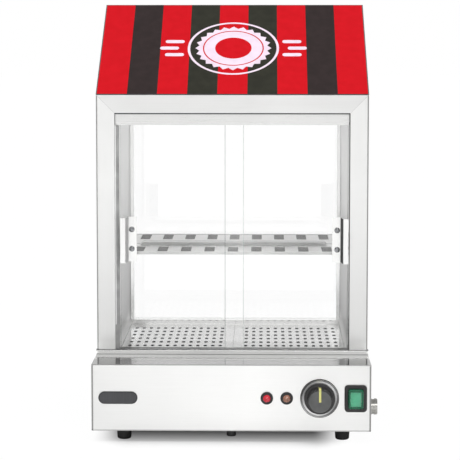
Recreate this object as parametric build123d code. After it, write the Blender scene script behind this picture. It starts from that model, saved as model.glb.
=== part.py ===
from build123d import *
import os
from math import hypot, radians, sin

# Countertop hot dog steamer: a low base with a water tank and the controls, and on it a glazed
# cabinet with two sliding glass doors, a shelf and a sloped sign on its roof.
# Millimetres, +Z up, front towards -Y. Everything is drawn about the middle of the base, and
# save() moves it so that the origin lies under the middle of the whole outline.

# Base
base_width = 350.0
base_depth = 340.0
base_height = 84.0
base_sheet = 1.2
base_corner = 2.0
base_flange = 14.0
foot_height = 14.0
foot_radius = 9.6
foot_inset = 21.0
foot_side_inset = 37.5
foot_shift = 2.2

# Cabinet
ledge_depth = 74.5
cabinet_width = 348.0
cabinet_depth = 262.0
cabinet_height = 334.0
cabinet_sheet = 1.0
cabinet_corner = 2.5
frame_face = 23.5
frame_return = 8.5
wall_thickness = 26.3
sill_height = 6.0
sill_depth = 7.0
sill_proud = 2.0
sill_round = 2.0
sign_rise = 115.0
sign_run = 171.0

# Rear window
rear_wall = 24.4
rear_lip = 5.0
rear_head = 15.0
glass_thickness = 4.0
gasket_wall = 0.8
gasket_lip = 1.0

# Sliding doors
door_width = 159.0
glass_arris = 0.4
door_ajar = 5.0
door_side_gap = 1.0
track_rib = 1.2
track_side_play = 0.4
track_setback = 5.0
top_track_height = 15.5
track_web = 1.5
door_head_clearance = 7.0
door_sole_clearance = 0.3

# Door handles, bent from strip
handle_height = 58.0
handle_plate = 12.5
handle_edge = 8.8
handle_reach = 20.0
handle_splay = 2.5
handle_flange = 6.3
handle_strip = 1.5
handle_centre_height = 245.5
handle_screw_pitch = 25.0
handle_screw_radius = 2.0
handle_screw_head = 3.65
handle_screw_head_height = 1.8
handle_nut_height = 2.4
handle_nut_radius = 4.0
handle_hole_play = 0.25

# Water tank, trays and shelf
tank_ledge = 5.0
tank_wall = 1.0
tank_depth = 52.0
tank_rim = 8.0
tray_margin = 1.7
tray_front_gap = 11.3
tray_rear_gap = 8.0
tray_play = 0.4
tray_sheet = 1.2
tray_fold = 8.0
slot_columns = 13
slot_rows = 6
slot_width = 4.4
slot_length = 12.0
slot_column_pitch = 9.95
slot_row_pitch = 27.6
slot_field_centre = 76.5
slot_field_shift = 3.0
shelf_level = 226.8
shelf_sheet = 1.0
shelf_play = 2.2
shelf_front_gap = 9.0
shelf_rear_gap = 4.0
shelf_lip = 3.0
shelf_back = 26.0
shelf_slot_columns = 9
shelf_slot_pitch = 30.7
shelf_slot_width = 13.5
shelf_slot_length = 56.0
shelf_slot_margin = 8.5
shelf_rib_length = 250.0
shelf_rib_width = 25.0
shelf_rib_height = 3.5
shelf_rib_shift = 15.0
rail_reach = 9.0
rail_height = 14.0
rail_inset = 16.0

# Controls, all on one line across the middle of the front panel
badge_width = 49.0
badge_height = 15.7
badge_thickness = 1.0
badge_inset = 33.4
badge_border = 1.0
badge_recess = 0.2
lamp_bezel_radius = 7.85
lamp_bezel_height = 2.5
lamp_bezel_round = 1.0
lamp_lens_radius = 4.8
lamp_lens_seat = 1.5
lamp_lens_rim = 0.6
lamp_lens_crown = 2.9
lamp_lens_taper = 1.6
lamp_body_radius = 5.0
lamp_body_length = 24.0
lamp_red_offset = 44.6
lamp_pitch = 24.8
knob_offset = 110.5
knob_radius = 14.5
knob_skirt_radius = 19.2
knob_skirt_height = 3.5
knob_height = 16.0
knob_gap = 0.6
knob_taper = 1.0
knob_round = 1.2
knob_wall = 5.0
dial_radius = 24.3
dial_inner_radius = 21.0
dial_thickness = 2.5
dial_chamfer = 0.8
pointer_width = 3.0
pointer_thickness = 0.6
pointer_margin = 1.6
shaft_radius = 3.0
shaft_play = 0.06
shaft_depth = 6.0
thermostat_size = 38.0
thermostat_depth = 26.0
thermostat_flatness = 0.8
bushing_radius = 5.0
bushing_proud = 2.0
switch_offset = 155.6
switch_width = 28.0
switch_height = 34.0
switch_bezel = 3.0
switch_wall = 2.2
switch_corner = 4.5
switch_round = 1.0
switch_body_depth = 24.0
rocker_width = 13.6
rocker_height = 19.0
rocker_tilt = 7.0
rocker_depth = 9.0
rocker_proud = 1.2
rocker_side_play = 0.5
rocker_end_play = 1.5
rocker_pivot_depth = 2.0
rocker_keel = 3.0
rocker_pin_radius = 1.2
rocker_pin_reach = 1.6
boot_width = 19.2
boot_height = 24.4
boot_wall = 0.8
boot_proud = 5.4
boot_corner = 3.0
boot_play = 0.2

# Under and behind the panels
drain_pipe_radius = 6.0
drain_pipe_bore = 4.5
drain_bend = 11.0
drain_level = 29.2
drain_clearance = 0.4
drain_straight = 0.5
drain_setback = 80.0
drain_inset = 30.0
drain_from_front = 16.0
drain_outlet_radius = 8.0
drain_outlet_length = 10.0
drain_proud = 9.5
lock_nut_height = 5.0
lock_nut_radius = 11.5
cap_radius = 10.5
cap_crown = 2.6
cap_waist = 0.8
cap_ridge = 3.2
cap_play = 0.3
cap_skirt = 7.8
seal_thickness = 1.0
element_radius = 4.0
element_bend = 18.0
element_lift = 10.0
element_stub = 16.0
element_lead = 66.0
element_margin = 28.0
element_nut_radius = 9.0
element_nut_height = 6.0
bulb_radius = 3.0
bulb_length = 80.0
bulb_offset = 70.0
bulb_lift = 14.0
capillary_radius = 1.0
capillary_bend = 6.0
capillary_stub = 14.0
reset_radius = 5.9
reset_drop = 9.4
reset_setback = 17.0
reset_play = 0.3
reset_socket = 8.0
reset_stem = 5.2
reset_round = 1.0
gland_radius = 10.0
gland_flange = 6.0
gland_tip = 6.5
gland_tail = 10.0
gland_nut_radius = 12.0
gland_proud = 22.0
gland_thread = 8.0
gland_bore = 4.5
gland_offset = -120.0
gland_height = 48.0
element_spread = 25.0
terminal_offset = -60.0
terminal_length = 62.0
terminal_depth = 22.0
terminal_height = 18.0
terminal_poles = 5
cutout_size = 30.0
cutout_height = 20.0
foot_screw_radius = 2.5
case_screw_radius = 1.7
case_screw_head = 3.4
case_screw_head_height = 2.0
case_screw_length = 6.0
case_screw_inset = 14.0
screw_head_round = 1.0
foot_screw_head = 4.5
foot_screw_head_height = 3.0
foot_nut_radius = 5.0
foot_nut_height = 3.5
foot_taper = 1.0
foot_round = 2.5
rear_flange = 15.0
fixing_play = 0.15
panel_hole_play = 0.3
overcut = 1.0

# Levels and planes that follow from the above
deck_top = foot_height + base_height
deck_under = deck_top - base_sheet
base_front = -base_depth / 2
base_rear = base_depth / 2
cabinet_front = base_front + ledge_depth
cabinet_rear = cabinet_front + cabinet_depth
roof_top = deck_top + cabinet_height
half_cabinet = cabinet_width / 2
opening_half = half_cabinet - frame_face
opening_top = roof_top - frame_face
liner_half = half_cabinet - wall_thickness
rear_inside = cabinet_rear - rear_wall
window_half = liner_half - rear_lip
window_low = deck_top + rear_lip + cabinet_sheet
window_high = roof_top - rear_head
groove = glass_thickness + 2 * track_side_play
track_front = cabinet_front + track_setback
track_depth = 3 * track_rib + 2 * groove
track_rear = track_front + track_depth
front_glass = track_front + track_rib + track_side_play
rear_glass_plane = front_glass + groove + track_rib
top_track_low = opening_top - top_track_height
door_low = deck_top + track_web + door_sole_clearance
door_high = opening_top - track_web - door_head_clearance
tray_front = track_rear + tray_front_gap
tray_rear = rear_inside - tray_rear_gap
tray_half = liner_half - tray_margin
tank_floor = deck_under - tank_depth
tank_front = tray_front - tray_play + tank_ledge
plate_top = foot_height + base_sheet
element_height = tank_floor + element_lift
bulb_height = element_height + bulb_lift
drain_x = tray_half - drain_inset
drain_y = tank_front + drain_from_front
drain_turn = base_front + drain_setback
drain_height = min(drain_level, tank_floor - tank_wall - drain_pipe_radius - drain_clearance)
drain_arc = min(drain_bend, tank_floor - drain_height - drain_straight)
drain_end = base_width / 2 + drain_proud
reset_line = base_front + reset_setback
control_height = foot_height + base_height / 2
skirt_back = base_front - dial_thickness - knob_gap
skirt_front = skirt_back - knob_skirt_height
knob_front = skirt_front - knob_height
sign_drop = cabinet_sheet * hypot(sign_rise, sign_run) / sign_run
outline_shift_x = -(drain_proud + cap_crown) / 2
outline_shift_y = -(knob_front + base_rear + gland_proud) / 2


def block(x0, x1, y0, y1, z0, z1):
    middle = Pos((x0 + x1) / 2, (y0 + y1) / 2, (z0 + z1) / 2)
    return middle * Box(abs(x1 - x0), abs(y1 - y0), abs(z1 - z0))


def disc(radius, x, z, y0, y1):
    """A cylinder along Y, between two planes."""
    return Pos(x, (y0 + y1) / 2, z) * Rot(90, 0, 0) * Cylinder(radius, abs(y1 - y0))


def post(radius, x, y, z0, z1):
    return Pos(x, y, (z0 + z1) / 2) * Cylinder(radius, z1 - z0)


def bar(radius, y, z, x0, x1):
    """A cylinder along X, between two planes."""
    return Pos((x0 + x1) / 2, y, z) * Rot(0, 90, 0) * Cylinder(radius, abs(x1 - x0))


def bent_tube(points, radius, bend, bore=0.0):
    path = FilletPolyline(*points, radius=bend)
    end = Plane(origin=path @ 0, z_dir=path % 0)
    tube = sweep(end * Circle(radius), path=path)
    return tube - sweep(end * Circle(bore), path=path) if bore else tube


def mirrored(shape):
    return mirror(shape, about=Plane.YZ)


def save(name, shape):
    placed = Pos(outline_shift_x, outline_shift_y, 0) * shape
    placed.label = name
    export_step(placed, f"parts/{name}.step")


# ---- Base ----

def base_wrap():
    """Front and sides in one bent sheet, with flanges at the rear and along the bottom."""
    rear = base_rear - base_sheet
    half = base_width / 2
    centre = Pos(0, (base_front + rear) / 2, 0)
    outer = extrude(centre * RectangleRounded(base_width, rear - base_front, base_corner),
                    base_height - base_sheet)
    shell = Pos(0, 0, foot_height) * outer
    shell -= block(-half + base_sheet, half - base_sheet, base_front + base_sheet, rear - base_sheet,
                   foot_height, deck_under)
    shell -= block(-half + base_flange, half - base_flange, rear - 2 * base_sheet, rear + overcut,
                   foot_height, deck_under)
    front = base_front - overcut, base_front + base_sheet + overcut
    for x in lamp_places():
        shell -= disc(lamp_body_radius + panel_hole_play, x, control_height, *front)
    shell -= disc(bushing_radius + panel_hole_play, knob_offset, control_height, *front)
    shell -= switch_core(*front)
    shell -= bar(drain_outlet_radius + fixing_play, drain_turn, drain_height, half - 2 * base_sheet,
                 half + overcut)
    for x, z in case_screw_places():
        shell -= disc(case_screw_radius + fixing_play, x, z, rear - 2 * base_sheet, rear + overcut)
    return shell


def switch_core(y0, y1):
    """The part of the switch that passes through the panel."""
    half_w = switch_width / 2 - switch_wall
    half_h = switch_height / 2 - switch_wall
    return block(switch_offset - half_w, switch_offset + half_w, y0, y1, control_height - half_h,
                 control_height + half_h)


def base_deck():
    """Top sheet of the base, open over the tank."""
    deck = Pos(0, 0, deck_under) * extrude(RectangleRounded(base_width, base_depth, base_corner), base_sheet)
    edge = deck.edges().group_by(Axis.Z)[-1]
    deck = fillet(edge, base_sheet / 2)
    return deck - block(-tray_half - tray_play, tray_half + tray_play, tray_front - tray_play,
                        tray_rear + tray_play, deck_under - overcut, deck_top + overcut)


def base_bottom():
    half = base_width / 2 - base_sheet
    rear = base_rear - 2 * base_sheet
    plate = block(-half, half, base_front + base_sheet, rear, foot_height, plate_top)
    for x, y in foot_places():
        plate -= post(foot_screw_radius + fixing_play, x, y, foot_height - overcut, plate_top + overcut)
    return plate - post(reset_radius + panel_hole_play, 0, reset_line, foot_height - overcut,
                        plate_top + overcut)


def rear_panel():
    half = base_width / 2
    panel = block(-half, half, base_rear - base_sheet, base_rear, foot_height, deck_under)
    for x, z in case_screw_places():
        panel -= disc(case_screw_radius + fixing_play, x, z, base_rear - 2 * base_sheet, base_rear + overcut)
    return panel - disc(gland_thread + fixing_play, gland_offset, gland_height, base_rear - 2 * base_sheet,
                        base_rear + overcut)


def foot_places():
    side = base_width / 2 - foot_side_inset
    depth = base_depth / 2 - foot_inset
    return [(foot_shift + x, y) for y in (-depth, depth) for x in (-side, side)]


def foot(x, y):
    """Rubber foot: tapered, rounded at the bottom, counterbored for its screw."""
    cone = Pos(x, y, foot_height / 2) * Cone(foot_radius - foot_taper, foot_radius, foot_height)
    cone = fillet(cone.edges().group_by(Axis.Z)[0], foot_round)
    bore = post(foot_screw_radius + fixing_play, x, y, -overcut, foot_height + overcut)
    counterbore = post(foot_nut_radius, x, y, -overcut, foot_height / 2)
    return cone - bore - counterbore


def foot_screws():
    shapes = []
    for x, y in foot_places():
        head = post(foot_screw_head, x, y, foot_height / 2 - foot_screw_head_height, foot_height / 2)
        shank = post(foot_screw_radius, x, y, foot_height / 2, plate_top + foot_nut_height + overcut)
        nut = Pos(x, y, plate_top) * extrude(RegularPolygon(foot_nut_radius, 6), foot_nut_height)
        shapes.append(head + shank + nut)
    return Compound(shapes)


def water_tank():
    """Deep-drawn pan under the deck. Its rim carries the trays."""
    half = tray_half + tray_play
    ledge = half - tank_ledge
    front, rear = tray_front - tray_play, tray_rear + tray_play
    rim = block(-half - tank_rim, half + tank_rim, front - tank_rim, rear + tank_rim, deck_under - tank_wall,
                deck_under)
    pan = block(-ledge - tank_wall, ledge + tank_wall, front + tank_ledge - tank_wall,
                rear - tank_ledge + tank_wall, tank_floor - tank_wall, deck_under)
    hollow = block(-ledge, ledge, front + tank_ledge, rear - tank_ledge, tank_floor, deck_under + overcut)
    wall = tank_front - 2 * tank_wall, tank_front + overcut
    tank = rim + pan - hollow
    for x in (-element_spread, element_spread):
        tank -= disc(element_radius + fixing_play, x, element_height, *wall)
    tank -= disc(bulb_radius + fixing_play, bulb_offset, bulb_height, *wall)
    return tank - post(drain_pipe_radius + fixing_play, drain_x, drain_y, tank_floor - 2 * tank_wall,
                       tank_floor + overcut)


def heating_element():
    """Tubular element in one plane: two terminals in front and a loop round the tank."""
    z = element_height
    side = tray_half - element_margin
    out, near, far = tank_front - element_stub, tank_front + element_lead, tray_rear - element_margin
    points = [(-element_spread, out, z), (-element_spread, near, z), (-side, near, z), (-side, far, z),
              (side, far, z), (side, near, z), (element_spread, near, z), (element_spread, out, z)]
    return bent_tube(points, element_radius, element_bend)


def element_nuts():
    """Lock nuts on the outside of the tank's front wall."""
    wall = tank_front - tank_wall
    nuts = []
    for x in (-element_spread, element_spread):
        hexagon = Plane.XZ * RegularPolygon(element_nut_radius, 6)
        nut = Pos(x, wall, element_height) * extrude(hexagon, element_nut_height)
        nuts.append(nut - disc(element_radius + fixing_play, x, element_height,
                               wall - element_nut_height - overcut, wall + overcut))
    return Compound(nuts)


def drain_pipe():
    """From the tank floor down, forward and out through the right side."""
    points = [(drain_x, drain_y, tank_floor), (drain_x, drain_y, drain_height),
              (drain_x, drain_turn, drain_height), (drain_end, drain_turn, drain_height)]
    pipe = bent_tube(points, drain_pipe_radius, drain_arc, drain_pipe_bore)
    collar_start = base_width / 2 - drain_outlet_length
    collar = bar(drain_outlet_radius, drain_turn, drain_height, collar_start, drain_end)
    return pipe + (collar - bar(drain_pipe_bore, drain_turn, drain_height, collar_start - overcut,
                                drain_end + overcut))


def drain_nut():
    """Lock nut inside the right side of the base."""
    inner = base_width / 2 - base_sheet
    hexagon = extrude(Plane.YZ * RegularPolygon(lock_nut_radius, 6), lock_nut_height)
    nut = Pos(inner - lock_nut_height, drain_turn, drain_height) * hexagon
    return nut - bar(drain_outlet_radius + fixing_play, drain_turn, drain_height,
                     inner - lock_nut_height - overcut, inner + overcut)


def drain_cap():
    """Screw cap with a hollow skirt and two ridges."""
    low, high = drain_end - cap_skirt, drain_end + cap_crown
    cap = bar(cap_radius - cap_waist, drain_turn, drain_height, low, high)
    cap += bar(cap_radius, drain_turn, drain_height, low, low + cap_ridge)
    cap += bar(cap_radius, drain_turn, drain_height, high - cap_waist - cap_ridge, high - cap_waist)
    return cap - bar(drain_outlet_radius + cap_play, drain_turn, drain_height, low - overcut,
                     drain_end + seal_thickness)


def drain_seal():
    ring = bar(drain_outlet_radius, drain_turn, drain_height, drain_end, drain_end + seal_thickness)
    return ring - bar(drain_pipe_bore, drain_turn, drain_height, drain_end - overcut,
                      drain_end + seal_thickness + overcut)


# ---- Controls ----

def lamp_places():
    return lamp_red_offset, lamp_red_offset + lamp_pitch


def lamp_holder(x):
    """Black holder: a round bezel on the panel and a body behind it."""
    face = base_front - lamp_bezel_height
    bezel = disc(lamp_bezel_radius, x, control_height, face, base_front)
    bezel = fillet(bezel.edges().group_by(Axis.Y)[0], lamp_bezel_round)
    bezel += disc(lamp_body_radius, x, control_height, base_front, base_front + lamp_body_length)
    return bezel - disc(lamp_lens_radius, x, control_height, face - overcut, face + lamp_lens_seat)


def lamp_lens(x):
    face = base_front - lamp_bezel_height
    lens = disc(lamp_lens_radius, x, control_height, face - lamp_lens_rim, face + lamp_lens_seat)
    return lens + cone_forward(lamp_lens_radius, lamp_lens_radius - lamp_lens_taper, lamp_lens_crown, x,
                               face - lamp_lens_rim)


def cone_forward(near, far, length, x, y):
    """A cone that stands out from a plane at y towards the front, at the height of the controls."""
    cone = Cone(near, far, length, align=(Align.CENTER, Align.CENTER, Align.MIN))
    return Pos(x, y, control_height) * Rot(90, 0, 0) * cone


def knob_dial():
    """Flat bright ring on the panel round the knob."""
    face = base_front - dial_thickness
    ring = disc(dial_radius, knob_offset, control_height, face, base_front)
    ring = chamfer(ring.edges().group_by(Axis.Y)[0], dial_chamfer)
    return ring - disc(dial_inner_radius, knob_offset, control_height, face - overcut, base_front + overcut)


def knob():
    skirt = disc(knob_skirt_radius, knob_offset, control_height, skirt_front, skirt_back)
    skirt = fillet(skirt.edges().group_by(Axis.Y)[0], knob_taper)
    grip = cone_forward(knob_radius + knob_taper, knob_radius, knob_height, knob_offset, skirt_front)
    grip = fillet(grip.edges().group_by(Axis.Y)[0], knob_round)
    return skirt + grip - disc(shaft_radius, knob_offset, control_height, knob_front + knob_wall,
                               skirt_back + overcut)


def knob_pointer():
    return block(knob_offset - pointer_width / 2, knob_offset + pointer_width / 2,
                 knob_front - pointer_thickness, knob_front, control_height,
                 control_height + knob_radius - pointer_margin)


def thermostat_shaft():
    return disc(shaft_radius, knob_offset, control_height, knob_front + knob_wall,
                base_front + base_sheet + shaft_depth)


def thermostat_body():
    """Switch box behind the panel, with the bushing that carries the shaft."""
    back = base_front + base_sheet
    half = thermostat_size / 2
    half_h = half * thermostat_flatness
    box = block(knob_offset - half, knob_offset + half, back, back + thermostat_depth,
                control_height - half_h, control_height + half_h)
    bushing = disc(bushing_radius, knob_offset, control_height, base_front - bushing_proud, back)
    hole = disc(shaft_radius + shaft_play, knob_offset, control_height, base_front - bushing_proud - overcut,
                back + shaft_depth + overcut)
    return box + bushing - hole


def thermostat_probe():
    """Capillary from the thermostat to the bulb in the water."""
    start = base_front + base_sheet + thermostat_depth
    tail = tank_front - 2 * tank_wall
    points = [(knob_offset, start, control_height), (knob_offset, start + capillary_stub, control_height),
              (bulb_offset, tail - capillary_stub, bulb_height),
              (bulb_offset, tail + tank_wall, bulb_height)]
    capillary = bent_tube(points, capillary_radius, capillary_bend)
    return capillary + disc(bulb_radius, bulb_offset, bulb_height, tail, tail + bulb_length)


def switch_housing():
    plate = Plane.XZ * RectangleRounded(switch_width, switch_height, switch_corner)
    bezel = Pos(switch_offset, base_front, control_height) * extrude(plate, switch_bezel)
    bezel = fillet(bezel.faces().sort_by(Axis.Y)[0].edges(), switch_round)
    body = switch_core(base_front, base_front + switch_body_depth)
    half_w = rocker_width / 2 + rocker_side_play
    half_h = rocker_height / 2 + rocker_end_play
    front = base_front - switch_bezel
    pocket = block(switch_offset - half_w, switch_offset + half_w, front - overcut,
                   base_front + rocker_depth, control_height - half_h, control_height + half_h)
    pocket += rocker_pin(fixing_play)
    half_w = boot_width / 2 + boot_play
    half_h = boot_height / 2 + boot_play
    seat = block(switch_offset - half_w, switch_offset + half_w, front - overcut, front + boot_wall,
                 control_height - half_h, control_height + half_h)
    return bezel + body - pocket - seat


def rocker_pin(play):
    reach = rocker_width / 2 + rocker_pin_reach + play
    return bar(rocker_pin_radius + play, base_front + rocker_pivot_depth, control_height,
               switch_offset - reach, switch_offset + reach)


def rocker():
    """Two-position rocker with a shallow vee face, stored with its lower half pressed."""
    half_w, half_h = rocker_width / 2, rocker_height / 2
    front = base_front - switch_bezel - rocker_proud
    pivot = base_front + rocker_pivot_depth
    dip = half_h * sin(radians(rocker_tilt)) / 2
    outline = [(front, half_h), (front + dip, 0), (front, -half_h), (pivot, -half_h + rocker_end_play),
               (pivot + rocker_keel, -rocker_pivot_depth), (pivot + rocker_keel, rocker_pivot_depth),
               (pivot, half_h - rocker_end_play)]
    side = Plane.YZ * make_face(Polyline(*outline, close=True))
    body = Pos(switch_offset - half_w, 0, control_height) * extrude(side, rocker_width)
    pivot_axis = Axis((switch_offset, pivot, control_height), (1, 0, 0))
    return body.rotate(pivot_axis, rocker_tilt) + rocker_pin(0)


def switch_boot():
    """Soft clear hood over the rocker."""
    back = base_front - switch_bezel + boot_wall
    front = back - boot_wall - boot_proud
    outline = Plane.XZ * RectangleRounded(boot_width, boot_height, boot_corner)
    hood = Pos(switch_offset, back, control_height) * extrude(outline, back - front)
    hood = fillet(hood.faces().sort_by(Axis.Y)[0].edges(), 2 * boot_wall)
    half_w, half_h = boot_width / 2 - boot_wall, boot_height / 2 - boot_wall
    return hood - block(switch_offset - half_w, switch_offset + half_w, front + boot_wall, back + overcut,
                        control_height - half_h, control_height + half_h)


def badge_plate():
    """Blank nameplate with rounded ends and a fine raised border."""
    x = -base_width / 2 + badge_inset
    shape = Plane.XZ * SlotOverall(badge_width, badge_height)
    plate = Pos(x, base_front, control_height) * extrude(shape, badge_thickness)
    recess = Plane.XZ * SlotOverall(badge_width - 2 * badge_border, badge_height - 2 * badge_border)
    floor = base_front - badge_thickness + badge_recess
    return plate - Pos(x, floor, control_height) * extrude(recess, badge_thickness)


# ---- Inside the base ----

def terminal_block():
    half = terminal_length / 2
    high = plate_top + terminal_height
    body = block(terminal_offset - half, terminal_offset + half, reset_line - terminal_depth / 2,
                 reset_line + terminal_depth / 2, plate_top, high)
    pitch = terminal_length / terminal_poles
    for i in range(terminal_poles):
        pole = terminal_offset - half + pitch * (i + 0.5)
        body -= post(pitch / 4, pole, reset_line, high - terminal_height / 4, high + overcut)
    return body


def safety_cutout():
    """Overheat cut-out on the bottom plate. Its reset button passes down through the plate."""
    half = cutout_size / 2
    body = block(-half, half, reset_line - half, reset_line + half, plate_top, plate_top + cutout_height)
    return body - post(reset_radius + reset_play, 0, reset_line, plate_top - overcut,
                       plate_top + reset_socket)


def reset_button():
    button = post(reset_radius, 0, reset_line, foot_height - reset_drop, foot_height + reset_stem)
    return fillet(button.edges().group_by(Axis.Z)[0], reset_round)


def cable_gland():
    """Gland for the supply lead, without the lead."""
    flange = disc(gland_radius, gland_offset, gland_height, base_rear, base_rear + gland_flange)
    sleeve = Cone(gland_thread, gland_tip, gland_proud - gland_flange,
                  align=(Align.CENTER, Align.CENTER, Align.MIN))
    sleeve = Pos(gland_offset, base_rear + gland_flange, gland_height) * Rot(-90, 0, 0) * sleeve
    thread = disc(gland_thread, gland_offset, gland_height, base_rear - gland_tail, base_rear)
    bore = disc(gland_bore, gland_offset, gland_height, base_rear - gland_tail - overcut,
                base_rear + gland_proud + overcut)
    return flange + sleeve + thread - bore


def gland_nut():
    back = base_rear - base_sheet
    hexagon = extrude(Plane.XZ * RegularPolygon(gland_nut_radius, 6), lock_nut_height)
    nut = Pos(gland_offset, back, gland_height) * hexagon
    return nut - disc(gland_thread + fixing_play, gland_offset, gland_height,
                      back - lock_nut_height - overcut, back + overcut)


# ---- Cabinet ----

def sill_bar():
    bar_front = cabinet_front - sill_proud
    sill = block(-base_width / 2, base_width / 2, bar_front, bar_front + sill_depth, deck_top,
                 deck_top + sill_height)
    return fillet(sill.edges().filter_by(Axis.X).group_by(Axis.Y)[0].sort_by(Axis.Z)[-1], sill_round)


def mitre_wedge():
    """Region above the left corner's mitre line, as deep as the face and its return."""
    corner = [(-half_cabinet, roof_top), (-opening_half, opening_top), (-opening_half, roof_top)]
    face = Plane.XZ * make_face(Polyline(*corner, close=True))
    return Pos(0, cabinet_front + cabinet_sheet, 0) * extrude(face, cabinet_sheet)


def cabinet_side():
    """Left skin: the side and the front post in one bent sheet."""
    x = -half_cabinet
    sheet = cabinet_sheet
    high = roof_top
    side = block(x, x + sheet, cabinet_front, cabinet_rear, deck_top, high)
    face = block(x, -opening_half, cabinet_front, cabinet_front + sheet, deck_top, high)
    returned = block(-opening_half - sheet, -opening_half, cabinet_front, cabinet_front + frame_return,
                     deck_top, opening_top)
    rear = block(x, x + rear_flange, cabinet_rear - sheet, cabinet_rear, deck_top, high - sheet)
    skin = side + face + rear
    corner = skin.edges().filter_by(Axis.Z).group_by(Axis.Y)[0].sort_by(Axis.X)[0]
    skin = fillet(corner, cabinet_corner) + returned
    skin -= mitre_wedge()
    bar_rear = cabinet_front - sill_proud + sill_depth
    return skin - block(x - overcut, -opening_half + overcut, cabinet_front - overcut, bar_rear,
                        deck_top - overcut, deck_top + sill_height)


def front_header():
    sheet = cabinet_sheet
    face = block(-half_cabinet, half_cabinet, cabinet_front, cabinet_front + sheet, opening_top, roof_top)
    under = block(-opening_half, opening_half, cabinet_front, track_rear, opening_top,
                  opening_top + sheet)
    over = block(-half_cabinet + 4, half_cabinet - 4, cabinet_front + sheet, cabinet_front + 16,
                 roof_top - 2 * sheet, roof_top - sheet)
    for flip in (False, True):
        corner = [(-half_cabinet, roof_top), (-opening_half, opening_top), (-half_cabinet, opening_top)]
        cut = Plane.XZ * make_face(Polyline(*corner, close=True))
        wedge = Pos(0, cabinet_front + 2 * sheet, 0) * extrude(cut, 3 * sheet)
        face -= mirrored(wedge) if flip else wedge
    return face + under + over


def side_liner():
    """Left inner wall, with flanges that close the wall at the doors and at the rear."""
    sheet = cabinet_sheet
    x = -liner_half
    outer = -half_cabinet + sheet
    front = track_rear + door_side_gap
    wall = block(x - sheet, x, front, rear_inside, deck_top, roof_top - sheet)
    flange = block(outer, x, front, front + sheet, deck_top, roof_top - 2 * sheet)
    rear = block(outer, x, rear_inside - sheet, rear_inside, deck_top, roof_top - sheet)
    return wall + flange + rear


def rear_frame():
    """Hollow frame round the rear window: two faces joined by a lining round the opening."""
    sheet = cabinet_sheet
    half = half_cabinet - sheet
    top = roof_top - sheet
    body = block(-half, half, rear_inside, cabinet_rear - sheet, deck_top, top)
    hollow = block(-half - overcut, half + overcut, rear_inside + sheet, cabinet_rear - 2 * sheet,
                   deck_top - overcut, top + overcut)
    tunnel = block(-window_half - sheet, window_half + sheet, rear_inside, cabinet_rear - sheet,
                   window_low - sheet, window_high + sheet)
    opening = block(-window_half, window_half, rear_inside - overcut, cabinet_rear + overcut, window_low,
                    window_high)
    return body - hollow + tunnel - opening


def rear_glass():
    middle = (rear_inside + cabinet_rear) / 2
    half = window_half - gasket_wall
    return block(-half, half, middle - glass_thickness / 2, middle + glass_thickness / 2,
                 window_low + gasket_wall, window_high - gasket_wall)


def rear_gasket():
    """U-section strip round the edge of the rear glass."""
    middle = (rear_inside + cabinet_rear) / 2
    depth = glass_thickness / 2 + gasket_wall
    ring = block(-window_half, window_half, middle - depth, middle + depth, window_low, window_high)
    rim = gasket_wall + gasket_lip
    ring -= block(-window_half + rim, window_half - rim, middle - depth - overcut, middle + depth + overcut,
                  window_low + rim, window_high - rim)
    return ring - rear_glass()


def roof_panel():
    sheet = cabinet_sheet
    return block(-half_cabinet + sheet, half_cabinet - sheet, cabinet_front + sheet, cabinet_rear - sheet,
                 roof_top - sheet, roof_top)


def sign_wedge(half, drop):
    """Wedge over the roof, its slope this far straight below the face of the sign."""
    foot = cabinet_front + drop * sign_run / sign_rise
    back = cabinet_front + sign_run
    outline = [(foot, roof_top), (back, roof_top), (back, roof_top + sign_rise - drop)]
    side = Plane.YZ * make_face(Polyline(*outline, close=True))
    return Pos(-half, 0, 0) * extrude(side, 2 * half)


def sign_panel():
    return sign_wedge(half_cabinet, 0) - sign_wedge(half_cabinet + overcut, sign_drop)


def sign_box():
    """Two cheeks and the back under the sloped sheet, bent from one sheet."""
    sheet = cabinet_sheet
    inner = block(-half_cabinet + sheet, half_cabinet - sheet, cabinet_front,
                  cabinet_front + sign_run - sheet, roof_top, roof_top + sign_rise)
    return sign_wedge(half_cabinet, sign_drop) - inner


# ---- Sliding doors ----

def track_profile(low, high, web_low, web_high):
    """Three ribs and a web, the full width of the door opening."""
    track = block(-opening_half, opening_half, track_front, track_rear, web_low, web_high)
    for i in range(3):
        rib = track_front + i * (track_rib + groove)
        track += block(-opening_half, opening_half, rib, rib + track_rib, low, high)
    return track


def top_track():
    return track_profile(top_track_low, opening_top, opening_top - track_web, opening_top)


def bottom_track():
    return track_profile(deck_top, deck_top + sill_height, deck_top, deck_top + track_web)


def door_glass(x0, y0):
    glass = block(x0, x0 + door_width, y0, y0 + glass_thickness, door_low, door_high)
    return chamfer(glass.edges().filter_by(Axis.Z), glass_arris)


def screw_heights():
    return (handle_centre_height - handle_screw_pitch / 2, handle_centre_height + handle_screw_pitch / 2)


def drill_door(glass, x, y):
    for z in screw_heights():
        glass -= disc(handle_screw_radius + handle_hole_play, x, z, y - overcut,
                      y + glass_thickness + overcut)
    return glass


def handle(y):
    """Left handle for a glass whose face is at y, its plate's outer edge at x = 0."""
    strip = handle_strip
    front = y - handle_reach
    tip = strip - handle_splay - handle_flange
    outline = [(0, y), (handle_plate, y), (handle_plate, y - strip), (strip, y - strip),
               (strip - handle_splay, front), (tip, front), (tip, front + strip),
               (-handle_splay, front + strip)]
    low = handle_centre_height - handle_height / 2
    section = make_face(Polyline(*outline, close=True))
    bent = Pos(0, 0, low) * extrude(section, handle_height)
    middle = handle_plate / 2
    for z in screw_heights():
        bent -= disc(handle_screw_radius + handle_hole_play, middle, z, y - strip - overcut, y + overcut)
    return bent


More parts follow.
